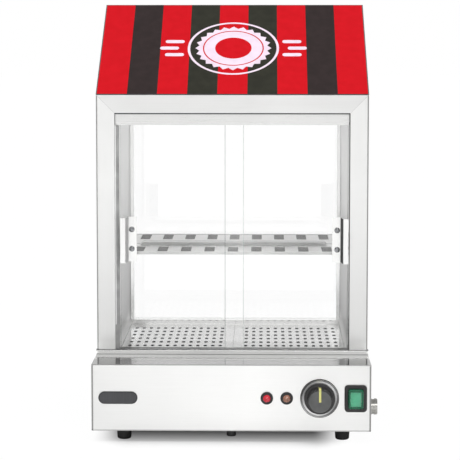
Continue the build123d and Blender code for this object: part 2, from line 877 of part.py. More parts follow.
def handle_fasteners(x, y):
    """Two pan-head screws through the plate and the glass, each with a dome nut behind."""
    shapes = []
    strip_face = y - handle_strip
    glass_back = y + glass_thickness
    for z in screw_heights():
        head = disc(handle_screw_head, x, z, strip_face - handle_screw_head_height, strip_face)
        head = fillet(head.edges().group_by(Axis.Y)[0], screw_head_round)
        shank = disc(handle_screw_radius, x, z, strip_face, glass_back + handle_nut_height)
        nut = disc(handle_nut_radius, x, z, glass_back, glass_back + handle_nut_height)
        shapes.append(head + shank + nut)
    return Compound(shapes)


def build_doors():
    left = -opening_half + door_side_gap + door_ajar
    right = opening_half - door_side_gap
    for name, x0, y in (("left", left, rear_glass_plane), ("right", right - door_width, front_glass)):
        outer = left + handle_edge if name == "left" else right - handle_edge
        inward = 1 if name == "left" else -1
        screws = outer + inward * handle_plate / 2
        save(f"door_{name}_glass", drill_door(door_glass(x0, y), screws, y))
        bent = handle(y) if name == "left" else mirrored(handle(y))
        save(f"door_{name}_handle", Pos(outer, 0, 0) * bent)
        save(f"door_{name}_screws", handle_fasteners(screws, y))


# ---- Trays and shelf ----

def steam_tray():
    """Left half of the perforated floor, with a stiffening fold at the seam."""
    half = tray_half
    seam = -tray_play / 2
    plate = block(-half, seam, tray_front, tray_rear, deck_top - tray_sheet, deck_top)
    tuck = tank_ledge + tray_play
    fold = block(seam - tray_sheet, seam, tray_front + tuck, tray_rear - tuck, deck_top - tray_fold,
                 deck_top - tray_sheet)
    slot = extrude(SlotOverall(slot_length, slot_width, rotation=90), tray_sheet, both=True)
    places = GridLocations(slot_column_pitch, slot_row_pitch, slot_columns, slot_rows)
    field = Pos(-slot_field_centre, (tray_front + tray_rear) / 2 + slot_field_shift, deck_top)
    slots = [field * place * slot for place in places]
    return plate + fold - slots


def shelf():
    """Loose shelf with two rows of openings, a pressed rib between them and a deep fold at the back."""
    half = liner_half - shelf_play
    front = track_rear + shelf_front_gap
    rear = rear_inside - shelf_rear_gap
    under = shelf_level - shelf_sheet
    plate = block(-half, half, front, rear, under, shelf_level)
    plate += block(-half, half, front, front + shelf_sheet, shelf_level - shelf_lip, shelf_level)
    plate += block(-half, half, rear - shelf_sheet, rear, shelf_level - shelf_back, shelf_level)
    opening = extrude(Rectangle(shelf_slot_width, shelf_slot_length), shelf_sheet + overcut, both=True)
    to_row = shelf_slot_margin + shelf_slot_length / 2
    for place in GridLocations(shelf_slot_pitch, rear - front - 2 * to_row, shelf_slot_columns, 2):
        plate -= Pos(0, (front + rear) / 2, shelf_level) * place * opening
    return plate + shelf_rib((front + rear) / 2 - shelf_rib_shift)


def shelf_rib(y):
    size = shelf_rib_length, shelf_rib_width
    top = size[0] - 2 * shelf_rib_height, size[1] - 2 * shelf_rib_height
    sketches = [Plane.XY.offset(shelf_level) * Pos(0, y) * Rectangle(*size),
                Plane.XY.offset(shelf_level + shelf_rib_height) * Pos(0, y) * Rectangle(*top)]
    return loft(Sketch() + sketches)


def shelf_rails():
    """An angle on each side wall under the shelf."""
    under = shelf_level - shelf_sheet
    sheet = cabinet_sheet
    front, rear = track_rear + rail_inset, rear_inside - rail_inset
    ledge = block(-liner_half, -liner_half + rail_reach, front, rear, under - sheet, under)
    leaf = block(-liner_half, -liner_half + sheet, front, rear, under - rail_height, under)
    left = ledge + leaf
    return Compound([left, mirrored(left)])


def case_screw_places():
    x = base_width / 2 - base_flange / 2
    heights = foot_height + case_screw_inset, deck_under - case_screw_inset
    return [(side, z) for side in (-x, x) for z in heights]


def case_screws():
    """Pan-head screws that hold the rear panel to the flanges."""
    shapes = []
    for x, z in case_screw_places():
        head = disc(case_screw_head, x, z, base_rear, base_rear + case_screw_head_height)
        head = fillet(head.edges().group_by(Axis.Y)[-1], screw_head_round)
        shapes.append(head + disc(case_screw_radius, x, z, base_rear - case_screw_length, base_rear))
    return Compound(shapes)


def build_base():
    save("base_wrap", base_wrap())
    save("base_deck", base_deck())
    save("base_bottom", base_bottom())
    save("rear_panel", rear_panel())
    names = "foot_front_left", "foot_front_right", "foot_rear_left", "foot_rear_right"
    for name, (x, y) in zip(names, foot_places()):
        save(name, foot(x, y))
    save("foot_screws", foot_screws())
    save("case_screws", case_screws())
    save("water_tank", water_tank())
    save("heating_element", heating_element())
    save("element_nuts", element_nuts())
    save("drain_pipe", drain_pipe())
    save("drain_nut", drain_nut())
    save("drain_seal", drain_seal())
    save("drain_cap", drain_cap())
    save("terminal_block", terminal_block())
    save("safety_cutout", safety_cutout())
    save("reset_button", reset_button())
    save("cable_gland", cable_gland())
    save("gland_nut", gland_nut())


def build_controls():
    save("badge_plate", badge_plate())
    for colour, x in zip(("red", "amber"), lamp_places()):
        save(f"lamp_{colour}_holder", lamp_holder(x))
        save(f"lamp_{colour}_lens", lamp_lens(x))
    save("knob_dial", knob_dial())
    save("knob", knob())
    save("knob_pointer", knob_pointer())
    save("thermostat_shaft", thermostat_shaft())
    save("thermostat_body", thermostat_body())
    save("thermostat_probe", thermostat_probe())
    save("switch_housing", switch_housing())
    save("switch_rocker", rocker())
    save("switch_boot", switch_boot())


def build_cabinet():
    save("sill_bar", sill_bar())
    for side, make in (("left", lambda shape: shape), ("right", mirrored)):
        save(f"cabinet_side_{side}", make(cabinet_side()))
        save(f"side_liner_{side}", make(side_liner()))
        save(f"steam_tray_{side}", make(steam_tray()))
    save("front_header", front_header())
    save("rear_frame", rear_frame())
    save("rear_glass", rear_glass())
    save("rear_gasket", rear_gasket())
    save("roof_panel", roof_panel())
    save("sign_panel", sign_panel())
    save("sign_box", sign_box())
    save("top_track", top_track())
    save("bottom_track", bottom_track())
    save("shelf", shelf())
    save("shelf_rails", shelf_rails())


os.makedirs("parts", exist_ok=True)
build_base()
build_controls()
build_cabinet()
build_doors()
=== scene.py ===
import bpy
import bmesh
from math import atan2, cos, hypot, pi, radians, sin
from mathutils import Matrix, Vector


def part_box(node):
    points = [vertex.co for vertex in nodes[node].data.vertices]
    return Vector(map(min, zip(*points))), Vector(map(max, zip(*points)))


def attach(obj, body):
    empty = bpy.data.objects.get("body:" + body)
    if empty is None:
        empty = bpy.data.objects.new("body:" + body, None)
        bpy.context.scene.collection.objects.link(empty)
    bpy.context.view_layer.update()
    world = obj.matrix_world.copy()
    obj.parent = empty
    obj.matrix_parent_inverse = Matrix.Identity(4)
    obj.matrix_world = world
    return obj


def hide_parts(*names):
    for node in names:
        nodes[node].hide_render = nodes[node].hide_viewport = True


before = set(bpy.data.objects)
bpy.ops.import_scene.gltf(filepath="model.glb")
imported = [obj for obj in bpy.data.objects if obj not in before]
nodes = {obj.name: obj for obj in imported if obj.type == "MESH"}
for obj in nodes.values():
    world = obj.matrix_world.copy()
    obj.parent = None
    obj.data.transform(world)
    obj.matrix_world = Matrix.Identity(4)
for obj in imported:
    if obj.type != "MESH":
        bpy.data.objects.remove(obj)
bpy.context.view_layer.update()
mm = 0.001
hair = 0.01 * mm                # finer than any detail
print("stage: frame loaded,", len(nodes), "nodes")


def middle(node):
    low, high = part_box(node)
    return (low + high) / 2


caseMiddle = (middle("cabinet_side_left").x + middle("cabinet_side_right").x) / 2


def linear(hexText):
    # sRGB hex to the linear colour that a shader takes
    parts = [int(hexText[i:i + 2], 16) / 255 for i in (1, 3, 5)]
    turned = [c / 12.92 if c <= 0.04045 else ((c + 0.055) / 1.055) ** 2.4 for c in parts]
    return (*turned, 1.0)


camera = {
    "place": Vector((0.0360, -2.4440, 0.5259)),
    "yaw": radians(1.094),      # a touch to the left, towards the middle of the case
    "pitch": radians(5.06),
    "lens": 144.5,
    "lift": -0.10,              # shift that keeps the uprights nearly parallel
}


def addCamera():
    data = bpy.data.cameras.new("studioCamera")
    data.lens = camera["lens"]
    data.sensor_width = 36
    data.shift_y = camera["lift"]
    data.clip_start, data.clip_end = 0.05, 60
    holder = bpy.data.objects.new("studioCamera", data)
    bpy.context.scene.collection.objects.link(holder)
    holder.location = camera["place"]
    holder.rotation_euler = (pi / 2 - camera["pitch"], 0, camera["yaw"])
    bpy.context.scene.camera = holder


addCamera()
print("stage: camera set")


def feed(tree, node, socket, value):
    # a socket takes a plain value, another node's output, or a node, which stands for its first output
    if isinstance(value, bpy.types.Node):
        value = value.outputs[0]
    if isinstance(value, bpy.types.NodeSocket):
        tree.links.new(value, node.inputs[socket])
    else:
        node.inputs[socket].default_value = value


def addNode(tree, kind, sockets=None, **settings):
    node = tree.nodes.new("ShaderNode" + kind)
    for name, value in settings.items():
        setattr(node, name, value)
    for socket, value in (sockets or {}).items():
        feed(tree, node, socket, value)
    return node


def startMaterial(name, values):
    material = bpy.data.materials.new(name)
    material.use_nodes = True
    tree = material.node_tree
    shader = tree.nodes["Principled BSDF"]
    for socket, value in values.items():
        feed(tree, shader, socket, value)
    return material, tree, shader


def grains(tree, spacing, detail, coarse=0.5):
    # noise on the piece itself, with grains that are spacing mm apart along each axis
    scale = [1 / (step * mm) for step in spacing]
    place = addNode(tree, "Mapping", {"Vector": addNode(tree, "TexCoord").outputs["Object"], "Scale": scale})
    return addNode(tree, "TexNoise", {"Vector": place, "Scale": 1.0, "Detail": detail, "Roughness": coarse})


def patches(tree, spacing, detail, top=1.0, coarse=0.5):
    # the same noise, whose values lie mostly between 0.3 and 0.7, drawn out to the range 0 to top
    noise = grains(tree, spacing, detail, coarse)
    return addNode(tree, "MapRange", {"Value": noise, "From Min": 0.3, "From Max": 0.7, "To Max": top})


def tint(tree, shader, pattern, dark, light):
    # the colour goes from dark to light with the pattern
    mix = addNode(tree, "Mix", {"Factor": pattern, 6: linear(dark), 7: linear(light)}, data_type="RGBA")
    feed(tree, shader, "Base Color", mix.outputs[2])
    return mix.outputs[2]


def wear(tree, shader, pattern, rough):
    # the roughness goes from the first of two values to the second with the pattern
    worn = addNode(tree, "MapRange", {"Value": pattern, "To Min": rough[0], "To Max": rough[1]})
    feed(tree, shader, "Roughness", worn)


def emboss(tree, shader, pattern, strength):
    relief = addNode(tree, "Bump", {"Height": pattern, "Strength": strength, "Distance": 0.1 * mm})
    feed(tree, shader, "Normal", relief)


def surface(tree, share, first, second):
    # the finished surface goes from the first shader to the second with the share
    blend = addNode(tree, "MixShader", {"Fac": share, 1: first, 2: second})
    feed(tree, tree.nodes["Material Output"], "Surface", blend)


def dress(material, *names):
    for name in names:
        slots = nodes[name].data.materials
        slots.clear()
        slots.append(material)


# Stainless steel 304, sheet. The grain runs along the belt that brushed it, so its lines are long
# one way and about 0.2 mm apart across it, which draws highlights out that way. They are drawn
# 0.9 mm apart, because finer lines vanish at this size, over a faint haze 120 mm wide.
# A painted shade is (axis, first place, last place, what the colour is multiplied by there), in mm, with X
# counted both ways from the middle of the case. It paints light and shade into the colour, darker or
# lighter up the walls and across the faces. Two of them, one there and one back, make a painted band.
# The edge colour is what a sheet shows at a grazing angle. A bend shade is painted shade, a thin darker
# line along a folded edge. Metal under 1 is a sheet that kept a dull share.
brush = {"apart": 0.9, "long": 60, "haze": 120, "lineShare": 0.3, "bendCore": 0.7}
steelFinishes = {
    "shellSteel": {
        "on": ["base_wrap", "rear_panel", "base_bottom"],
        "light": "#EBEBEA", "dark": "#E2E2E1", "rough": (0.30, 0.34), "across": "Z", "bump": 0.004,
        "paintedShade": [("X", 20, 176, 0.86), ("Z", 16.0, 14.4, 0.5)],
        "bend": {"corner": (175, -169.7), "reach": 2.6, "tone": 0.34},
    },
    "cabinetSteel": {
        "on": ["cabinet_side_left", "cabinet_side_right"],
        "light": "#E6E6E5", "dark": "#DFDFDE", "rough": (0.28, 0.32), "across": "X", "bump": 0.004,
        "paintedShade": [("Z", 320, 150, 0.80), ("Z", 116, 104, 1.25)],
        "bend": {"corner": (174, -95.2), "reach": 2.1, "tone": 0.36},
    },
    "headerSteel": {
        "on": ["front_header", "roof_panel", "sign_box"],
        "light": "#E0E0DF", "dark": "#D6D6D5", "rough": (0.28, 0.32), "across": "Z", "bump": 0.004,
    },
    "linerSteel": {
        "on": ["side_liner_left", "side_liner_right"],
        "light": "#F4F4F3", "dark": "#F0F0EF", "rough": (0.34, 0.38), "across": "Z", "bump": 0.001,
        "paintedShade": [("Z", 340, 126, 0.42), ("Z", 122, 110, 1.9)],
        "edge": "#EAEAEA",
    },
    "shelfSteel": {
        "on": ["shelf", "shelf_rails"],
        "light": "#E6E6E5", "dark": "#DADAD9", "rough": (0.28, 0.34), "across": "Y", "bump": 0.002,
        "paintedShade": [("X", 20, 72, 0.78), ("X", 92, 128, 1.25), ("Y", 7.0, 8.4, 1.6), ("Y", 10.4, 11.8, 0.62),
                  ("Y", 22, 23, 0.2), ("Y", 29, 30, 5.0), ("Y", 125, 127, 0.4)],
        "metal": 0.7,
    },
    "traySteel": {
        "on": ["steam_tray_left", "steam_tray_right"],
        "light": "#D1D1D0", "dark": "#CBCBCA", "rough": (0.15, 0.17), "across": "Y", "bump": 0.001,
        "paintedShade": [("X", 126, 136, 1.5)],
        "edge": "#F2F2F2",
    },
    "rearSteel": {
        "on": ["rear_frame"],
        "light": "#FBFBFA", "dark": "#F7F7F6", "rough": (0.10, 0.14), "across": "Z", "bump": 0.001,
    },
    "hemSteel": {
        "light": "#F2F2F1", "dark": "#ECECEB", "rough": (0.18, 0.22), "across": "X", "bump": 0.001,
        "paintedShade": [("Z", 220, 120, 1.3)],
    },
    "deckSteel": {
        "on": ["base_deck"],
        "light": "#A8A8A7", "dark": "#A2A2A1", "rough": (0.09, 0.12), "across": "Y", "bump": 0.001,
        "paintedShade": [("X", 95, 130, 1.05), ("Y", -137, -127, 1.8)],
        "edge": "#F2F2F2",
    },
    "sillSteel": {
        "on": ["sill_bar"],
        "light": "#EEEEED", "dark": "#E6E6E5", "rough": (0.16, 0.22), "across": "Z", "bump": 0.002,
        "paintedShade": [("Z", 101.6, 103.2, 0.45)],
        "edge": "#B8B8B8",
    },
    "tankSteel": {
        "on": ["water_tank"],
        "light": "#5C5C5B", "dark": "#4A4A49", "rough": (0.24, 0.30), "across": "Z", "bump": 0.01,
    },
    "trackSteel": {
        "on": ["top_track", "bottom_track"],
        "light": "#DCDCDB", "dark": "#D2D2D1", "rough": (0.26, 0.32), "across": "YZ", "bump": 0.006,
    },
    "handleSteel": {
        "on": ["door_left_handle", "door_right_handle"],
        "light": "#EAEAE9", "dark": "#E2E2E1", "rough": (0.24, 0.28), "across": "X", "bump": 0.005,
    },
}


def placeAlong(tree, axis, origin=0.0):
    # the place on the piece along one axis, counted from the origin
    place = addNode(tree, "SeparateXYZ", {0: addNode(tree, "TexCoord").outputs["Object"]}).outputs[axis]
    return addNode(tree, "Math", {0: place, 1: origin}, operation="SUBTRACT")


def onCase(tree, axis):
    # the same, with X counted both ways from the middle of the case
    if axis != "X":
        return placeAlong(tree, axis)
    return addNode(tree, "Math", {0: placeAlong(tree, "X", caseMiddle)}, operation="ABSOLUTE")


def toned(tree, colour, value, near, far, nearTone, farTone):
    # the colour is multiplied by one tone at the near place, in mm, and by another at the far one
    level = addNode(tree, "MapRange", {"Value": value, "From Min": near * mm, "From Max": far * mm,
                                       "To Min": nearTone, "To Max": farTone})
    return addNode(tree, "VectorMath", {0: colour, "Scale": level}, operation="SCALE")


def steel(name):
    finish = steelFinishes[name]
    values = {"Metallic": finish.get("metal", 1.0), "Specular Tint": linear(finish.get("edge", "#FFFFFF"))}
    material, tree, shader = startMaterial(name, values)
    spacing = [brush["apart"] if axis in finish["across"] else brush["long"] for axis in "XYZ"]
    lines = patches(tree, spacing, 3.0, coarse=0.6)
    haze = patches(tree, (brush["haze"],) * 3, 1.0, top=1 - brush["lineShare"])
    share = addNode(tree, "Math", {0: lines, 1: brush["lineShare"], 2: haze}, operation="MULTIPLY_ADD")
    colour = tint(tree, shader, share, finish["dark"], finish["light"])
    # painted light and shade: the colour is multiplied by each tone along its axis
    for axis, near, far, tone in finish.get("paintedShade", ()):
        colour = toned(tree, colour, onCase(tree, axis), near, far, 1.0, tone)
    # painted shade: a thin darker line along the folded corner
    if "bend" in finish:
        bend = finish["bend"]
        reach = bend["reach"]
        place = addNode(tree, "CombineXYZ", {"X": onCase(tree, "X"), "Y": onCase(tree, "Y")})
        corner = [edge * mm for edge in bend["corner"]] + [0]
        away = addNode(tree, "VectorMath", {0: place, 1: corner}, operation="DISTANCE").outputs["Value"]
        colour = toned(tree, colour, away, brush["bendCore"] * reach, reach, bend["tone"], 1.0)
    feed(tree, shader, "Base Color", colour)
    wear(tree, shader, lines, finish["rough"])
    emboss(tree, shader, lines, finish["bump"])
    dress(material, *finish.get("on", ()))
    return material


steels = {name: steel(name) for name in steelFinishes}


def patchy(name, light, dark, rough, spots):
    # plated, turned, scaled or ground metal, with faint uneven patches a few mm wide
    material, tree, shader = startMaterial(name, {"Metallic": 1.0})
    uneven = patches(tree, (spots, spots, spots), 2.0)
    tint(tree, shader, uneven, dark, light)
    wear(tree, shader, uneven, rough)
    return material


screwSteel = patchy("zincPlatedSteel", "#A2A3A5", "#77797B", (0.20, 0.32), 2)
capNickel = patchy("nickelPlatedBrass", "#B9B8B4", "#9A9995", (0.18, 0.28), 3)
brass = patchy("turnedBrass", "#C9A86A", "#A88847", (0.30, 0.42), 4)
sheath = patchy("oxidisedStainless", "#7C7A76", "#55534F", (0.35, 0.5), 5)   # darkened by the element's heat
dress(screwSteel, "case_screws", "foot_screws", "door_left_screws", "door_right_screws")
dress(capNickel, "drain_cap", "thermostat_shaft")
dress(brass, "drain_pipe", "drain_nut", "element_nuts")
dress(sheath, "heating_element", "thermostat_probe")


sheenSectors = {"sectors": 2.0, "turned": 0.6}


def spunChrome():
    # chrome on a turned ring, with a painted sheen: two bright and two dark sectors round the knob, painted
    # into the colour
    material, tree, shader = startMaterial("spunChrome", {"Metallic": 1.0, "Roughness": 0.3})
    centre = middle("knob_dial")
    off = {0: placeAlong(tree, "X", centre.x), 1: placeAlong(tree, "Z", centre.z)}
    turn = addNode(tree, "Math", off, operation="ARCTAN2")
    sector = addNode(tree, "Math", {0: turn, 1: sheenSectors["sectors"], 2: sheenSectors["turned"]},
                     operation="MULTIPLY_ADD")
    wave = addNode(tree, "Math", {0: sector}, operation="SINE")
    share = addNode(tree, "MapRange", {"Value": wave, "From Min": -1.0, "From Max": 1.0})
    # painted sheen: the colour goes from dark to light and back round the ring
    tint(tree, shader, share, "#808080", "#D0D0D0")
    return material


dialChrome = spunChrome()
dress(dialChrome, "knob_dial")
print("stage: metals")


def gritty(name, light, dark, rough, grit, bump, extra=None):
    # plastic, rubber, paint, film or felt: a fine grit on its surface and a slight drift in its colour
    material, tree, shader = startMaterial(name, {"IOR": 1.5, **(extra or {})})
    fine = grains(tree, (grit, grit, grit), 2.0)
    tint(tree, shader, patches(tree, (12, 12, 12), 1.0), dark, light)
    wear(tree, shader, fine, rough)
    emboss(tree, shader, fine, bump)
    return material


# The knob is pressed phenolic, half gloss, with a paler satin face. Nylon is a little duller, and
# foot rubber dull all over. Glazed steatite is cream and glossy, and a powder coat has a soft sheen.
blackPlastic = gritty("blackPhenolic", "#232222", "#171616", (0.32, 0.46), 0.5, 0.12)
knobInsert = gritty("satinPhenolic", "#585959", "#4A4B4B", (0.30, 0.42), 0.5, 0.15)
blackNylon = gritty("blackNylon", "#1E1D1E", "#131213", (0.36, 0.50), 0.6, 0.10)
greyPlastic = gritty("greyPolyamide", "#8B8D8F", "#7A7C7E", (0.40, 0.52), 0.6, 0.1)
rubber = gritty("footRubber", "#181818", "#101010", (0.55, 0.70), 0.6, 0.2)
ceramic = gritty("glazedSteatite", "#ECE8DE", "#E2DDD0", (0.25, 0.35), 0.7, 0.05)
signPaint = gritty("charcoalPowderCoat", "#5C5C5C", "#4E4E4E", (0.45, 0.6), 0.7, 0.08)
yellowPaint = gritty("yellowEnamel", "#DAD786", "#CFCB76", (0.35, 0.45), 0.6, 0.06)
rockerGreen = gritty("greenPolycarbonate", "#82DCC0", "#62CCA6", (0.22, 0.32), 0.6, 0.05)
dress(blackPlastic, "knob")
dress(blackNylon, "lamp_red_holder", "lamp_amber_holder", "switch_housing", "cable_gland", "gland_nut",
      "reset_button")
dress(rubber, "foot_front_left", "foot_front_right", "foot_rear_left", "foot_rear_right", "drain_seal")
dress(ceramic, "terminal_block", "thermostat_body")
dress(greyPlastic, "safety_cutout")
dress(yellowPaint, "knob_pointer")
dress(signPaint, "sign_panel")
dress(rockerGreen, "switch_rocker")


def clearPart(name, colour, rough, ior, letThrough, through=1.0, film=1.0):
    # glass or clear plastic. Rays to the lamps pass straight on, so that what stands behind it is lit.
    values = {"Base Color": linear(colour), "Transmission Weight": through, "IOR": ior, "Alpha": film}
    material, tree, shader = startMaterial(name, values)
    wear(tree, shader, grains(tree, (60, 60, 60), 1.0), rough)      # wiped by hand, so it is uneven
    clear = addNode(tree, "BsdfTransparent", {"Color": linear(letThrough)})
    surface(tree, addNode(tree, "LightPath").outputs["Is Shadow Ray"], shader, clear)
    return material


doorGlass = clearPart("temperedFloatGlass", "#FFFFFF", (0.0, 0.002), 1.5, "#FDFEFD")
dress(doorGlass, "door_left_glass", "door_right_glass", "rear_glass")
# The bead that glazes the rear window is cast silicone, so clear that it shows only as a faint film.
clearSilicone = clearPart("clearSilicone", "#F4F6F5", (0.10, 0.18), 1.41, "#F4F6F5", film=0.15)
dress(clearSilicone, "rear_gasket")
# The hood over the switch is moulded silicone, pale and clear over its face. Round it a darker copy paints
# shade: the deep green where the eye looks along its wall.
bootGreen = clearPart("clearGreenSilicone", "#DDF7EC", (0.05, 0.12), 1.41, "#DDF7EC")
bootRimShade = clearPart("shadedGreenSilicone", "#0F6A4A", (0.06, 0.12), 1.41, "#2E9A74", 0.4)
dress(bootGreen, "switch_boot")
# The lenses are milky inside, to spread the light of a small neon lamp.
redLens = clearPart("redPolycarbonate", "#E0283C", (0.03, 0.06), 1.58, "#F05060", 0.25)
amberLens = clearPart("amberPolycarbonate", "#B4806A", (0.03, 0.06), 1.58, "#D09A80", 0.35)
dress(redLens, "lamp_red_lens")
dress(amberLens, "lamp_amber_lens")


def nameplate():
    # anodised aluminium plate: dark grey and satin, with a darker raised border
    material, tree, shader = startMaterial("anodisedAluminium", {"Metallic": 0.35})
    grain = patches(tree, (0.7, 0.7, 20), 2.0)
    plate = tint(tree, shader, grain, "#414143", "#47474A")
    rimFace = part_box("badge_plate")[0].y + 0.1 * mm
    rim = addNode(tree, "Math", {0: placeAlong(tree, "Y"), 1: rimFace}, operation="LESS_THAN")
    colour = addNode(tree, "Mix", {"Factor": rim, 6: plate, 7: linear("#29292A")}, data_type="RGBA")
    feed(tree, shader, "Base Color", colour.outputs[2])
    wear(tree, shader, grain, (0.34, 0.46))
    return material


dress(nameplate(), "badge_plate")
print("stage: plastics and glass")


def mode(name):
    bpy.ops.object.mode_set(mode=name)


def editAll():
    # edit mode with the whole mesh selected
    mode("EDIT")
    bpy.ops.mesh.select_all(action="SELECT")


def deselectAll():
    if bpy.context.object and bpy.context.object.mode != "OBJECT":
        mode("OBJECT")
    bpy.ops.object.select_all(action="DESELECT")


def only(piece):
    # selects this piece alone, as the active one
    deselectAll()
    piece.select_set(True)
    bpy.context.view_layer.objects.active = piece


def start(primitive, **settings):
    # a piece starts as a plain primitive
    deselectAll()
    primitive(**settings)
    return bpy.context.object


def pick(piece, kind, test):
    # selects the vertices, edges or faces that pass the test, in edit mode
    mode("EDIT")
    bpy.ops.mesh.select_mode(type={"verts": "VERT", "edges": "EDGE", "faces": "FACE"}[kind])
    bpy.ops.mesh.select_all(action="DESELECT")
    mesh = bmesh.from_edit_mesh(piece.data)
    for item in getattr(mesh, kind):
        item.select = test(item)
    mesh.select_flush_mode()
    bmesh.update_edit_mesh(piece.data)


def spun(name, outline, centre, steps):
    # a piece turned about the centre along Y: outline holds (radius, place) pairs that end on the axis
    points = [Vector((centre.x, place, centre.z + radius)) for radius, place in outline]
    piece = start(bpy.ops.mesh.primitive_plane_add, size=mm, location=points[0])
    mode("EDIT")
    bpy.ops.mesh.select_mode(type="VERT")       # a vertex can only be extruded in this mode
    bpy.ops.mesh.select_all(action="SELECT")
    bpy.ops.mesh.merge(type="CENTER")
    for here, there in zip(points, points[1:]):
        bpy.ops.mesh.extrude_vertices_move(TRANSFORM_OT_translate={"value": there - here})
    bpy.ops.mesh.select_all(action="SELECT")
    bpy.ops.mesh.spin(steps=steps, angle=2 * pi, center=centre, axis=(0, 1, 0))
    bpy.ops.mesh.select_all(action="SELECT")
    bpy.ops.mesh.remove_doubles(threshold=hair / 2)
    bpy.ops.mesh.normals_make_consistent(inside=False)
    mode("OBJECT")
    return settle(piece, name)


def settle(piece, name):
    # the piece's place goes into its mesh, so that its object sits at the origin
    only(piece)
    piece.name = piece.data.name = name
    bpy.ops.object.transform_apply(location=True, rotation=True, scale=True)
    return piece


def applied(piece, kind, **settings):
    only(piece)
    bpy.ops.object.modifier_add(type=kind)
    modifier = piece.modifiers[-1]
    for name, value in settings.items():
        setattr(modifier, name, value)
    bpy.ops.object.modifier_apply(modifier=modifier.name)
    return piece


def joined(name, *pieces):
    # several pieces made one mesh
    only(pieces[0])
    for piece in pieces:
        piece.select_set(True)
    bpy.ops.object.join()
    return settle(pieces[0], name)


def copied(piece, name, shift):
    # a copy with a mesh of its own
    twin = bpy.data.objects.new(name, piece.data.copy())
    twin.data.name = name
    bpy.context.scene.collection.objects.link(twin)
    twin.data.transform(Matrix.Translation(shift))
    return twin


def mirroredCopy(piece, name, about, shift):
    # a copy with left and right swapped about an X place
    twin = copied(piece, name, Vector((-about, 0, 0)))
    twin.data.transform(Matrix.Translation(shift + Vector((about, 0, 0))) @ Matrix.Diagonal((-1, 1, 1, 1)))
    twin.data.flip_normals()
    return twin


def box(name, centre, size, turn=0):
    # a plain box, turned about Y, to be shaped further
    piece = start(bpy.ops.mesh.primitive_cube_add, size=1, location=centre, rotation=(0, turn, 0))
    piece.scale = size
    return settle(piece, name)


def block(name, low, high, edge):
    # a box between two corners, with softened edges
    low, high = Vector(low), Vector(high)
    piece = box(name, (low + high) / 2, high - low)
    editAll()
    bpy.ops.mesh.bevel(offset=edge, segments=2)
    mode("OBJECT")
    return piece


def paint(piece, test):
    # the faces that pass the test take the piece's second material
    for face in piece.data.polygons:
        face.material_index = int(test(face))


def smooth(piece, degrees):
    only(piece)
    bpy.ops.object.shade_smooth_by_angle(angle=radians(degrees))


def finished(piece, body, slot, *materials, replaces=()):
    # gives a piece its materials and the body that carries it, and hides the CAD nodes it stands for; its
    # slot is not used
    for material in materials:
        piece.data.materials.append(material)
    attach(piece, body)
    if replaces:
        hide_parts(*replaces)


signLow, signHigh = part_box("sign_panel")
sign = {
    "stripes": 9,
    "sideInset": 1.3 * mm,
    "endInset": 1.4 * mm,
    "film": 0.20 * mm,          # self-adhesive vinyl, drawn twice as thick as it is
    "slope": atan2(signHigh.z - signLow.z, signHigh.y - signLow.y),
    "length": hypot(signHigh.z - signLow.z, signHigh.y - signLow.y),
    "width": signHigh.x - signLow.x,
    "centre": (signLow + signHigh) / 2,
    "gap": 0.02 * mm,           # from one layer of film to the next
}
sign["up"] = Vector((0, cos(sign["slope"]), sin(sign["slope"])))
sign["normal"] = Vector((0, -sin(sign["slope"]), cos(sign["slope"])))


def vinyl(name, light, dark):
    # cast vinyl film under a matt laminate: even colour, a dull face with a faint orange peel 1.5 mm across
    return gritty(name, light, dark, (0.55, 0.65), 1.5, 0.03, {"Specular IOR Level": 0.06})


def laidOnSign(piece, name, across, along, lift):
    # turns a flat shape made at the origin onto the slope and shifts it across and up the slope
    piece.location = sign["centre"] + Vector((across, 0, 0)) + sign["up"] * along + sign["normal"] * lift
    piece.rotation_euler = (sign["slope"], 0, 0)
    return settle(piece, name)


def thickened(piece, thickness):
    return applied(piece, "SOLIDIFY", thickness=thickness, offset=1.0)


def signStripes():
    piece = start(bpy.ops.mesh.primitive_grid_add, x_subdivisions=sign["stripes"], y_subdivisions=1, size=1)
    width = sign["width"] - 2 * sign["sideInset"]
    piece.scale = (width, sign["length"] - 2 * sign["endInset"], 1)
    settle(piece, "signStripes")
    left, step = -width / 2, width / sign["stripes"]
    order = [0, 1, 0, 2, 0, 2, 0, 1, 0]     # red at both ends, the two inner darks a little greener
    for face in piece.data.polygons:
        face.material_index = order[int((face.center.x - left) / step)]
    thickened(piece, sign["film"])
    laidOnSign(piece, "signStripes", 0, 0, sign["gap"])
    finished(piece, "steamer", "sign_enamel", vinyl("redVinyl", "#C4141F", "#BE121C"),
             vinyl("charcoalVinyl", "#332B2B", "#2E2727"), vinyl("blackOliveVinyl", "#31312A", "#2C2C26"))


signStripes()

emblem = {
    "ringOuter": 60 * mm,
    "ringLine": 3.2 * mm,
    "rosette": 50 * mm,
    "petals": 24,
    "petalDip": 0.90,
    "band": 40 * mm,
    "bandLine": 1.6 * mm,
    "disc": 24 * mm,
    "bars": [(0, 84 * mm), (15 * mm, 77 * mm), (-15 * mm, 77 * mm)],    # (up the slope, out from the middle)
    "barLength": 25 * mm,
    "barHeight": 7 * mm,
    "barRound": 0.45,           # of the bar's height
    "film": 0.12 * mm,
}
paleVinyl = vinyl("palePinkVinyl", "#E6D6E4", "#DECDDC")
emblemRed = vinyl("emblemRedVinyl", "#C4141F", "#BE121C")
aboveStripes = sign["film"] + 2 * sign["gap"]


def flatDisc(radius, vertices):
    return start(bpy.ops.mesh.primitive_circle_add, vertices=vertices, radius=radius, fill_type="NGON")


def flatRing(radius, line, vertices):
    piece = flatDisc(radius, vertices)
    editAll()
    bpy.ops.mesh.inset(thickness=line)
    bpy.ops.mesh.delete(type="FACE")
    mode("OBJECT")
    return piece


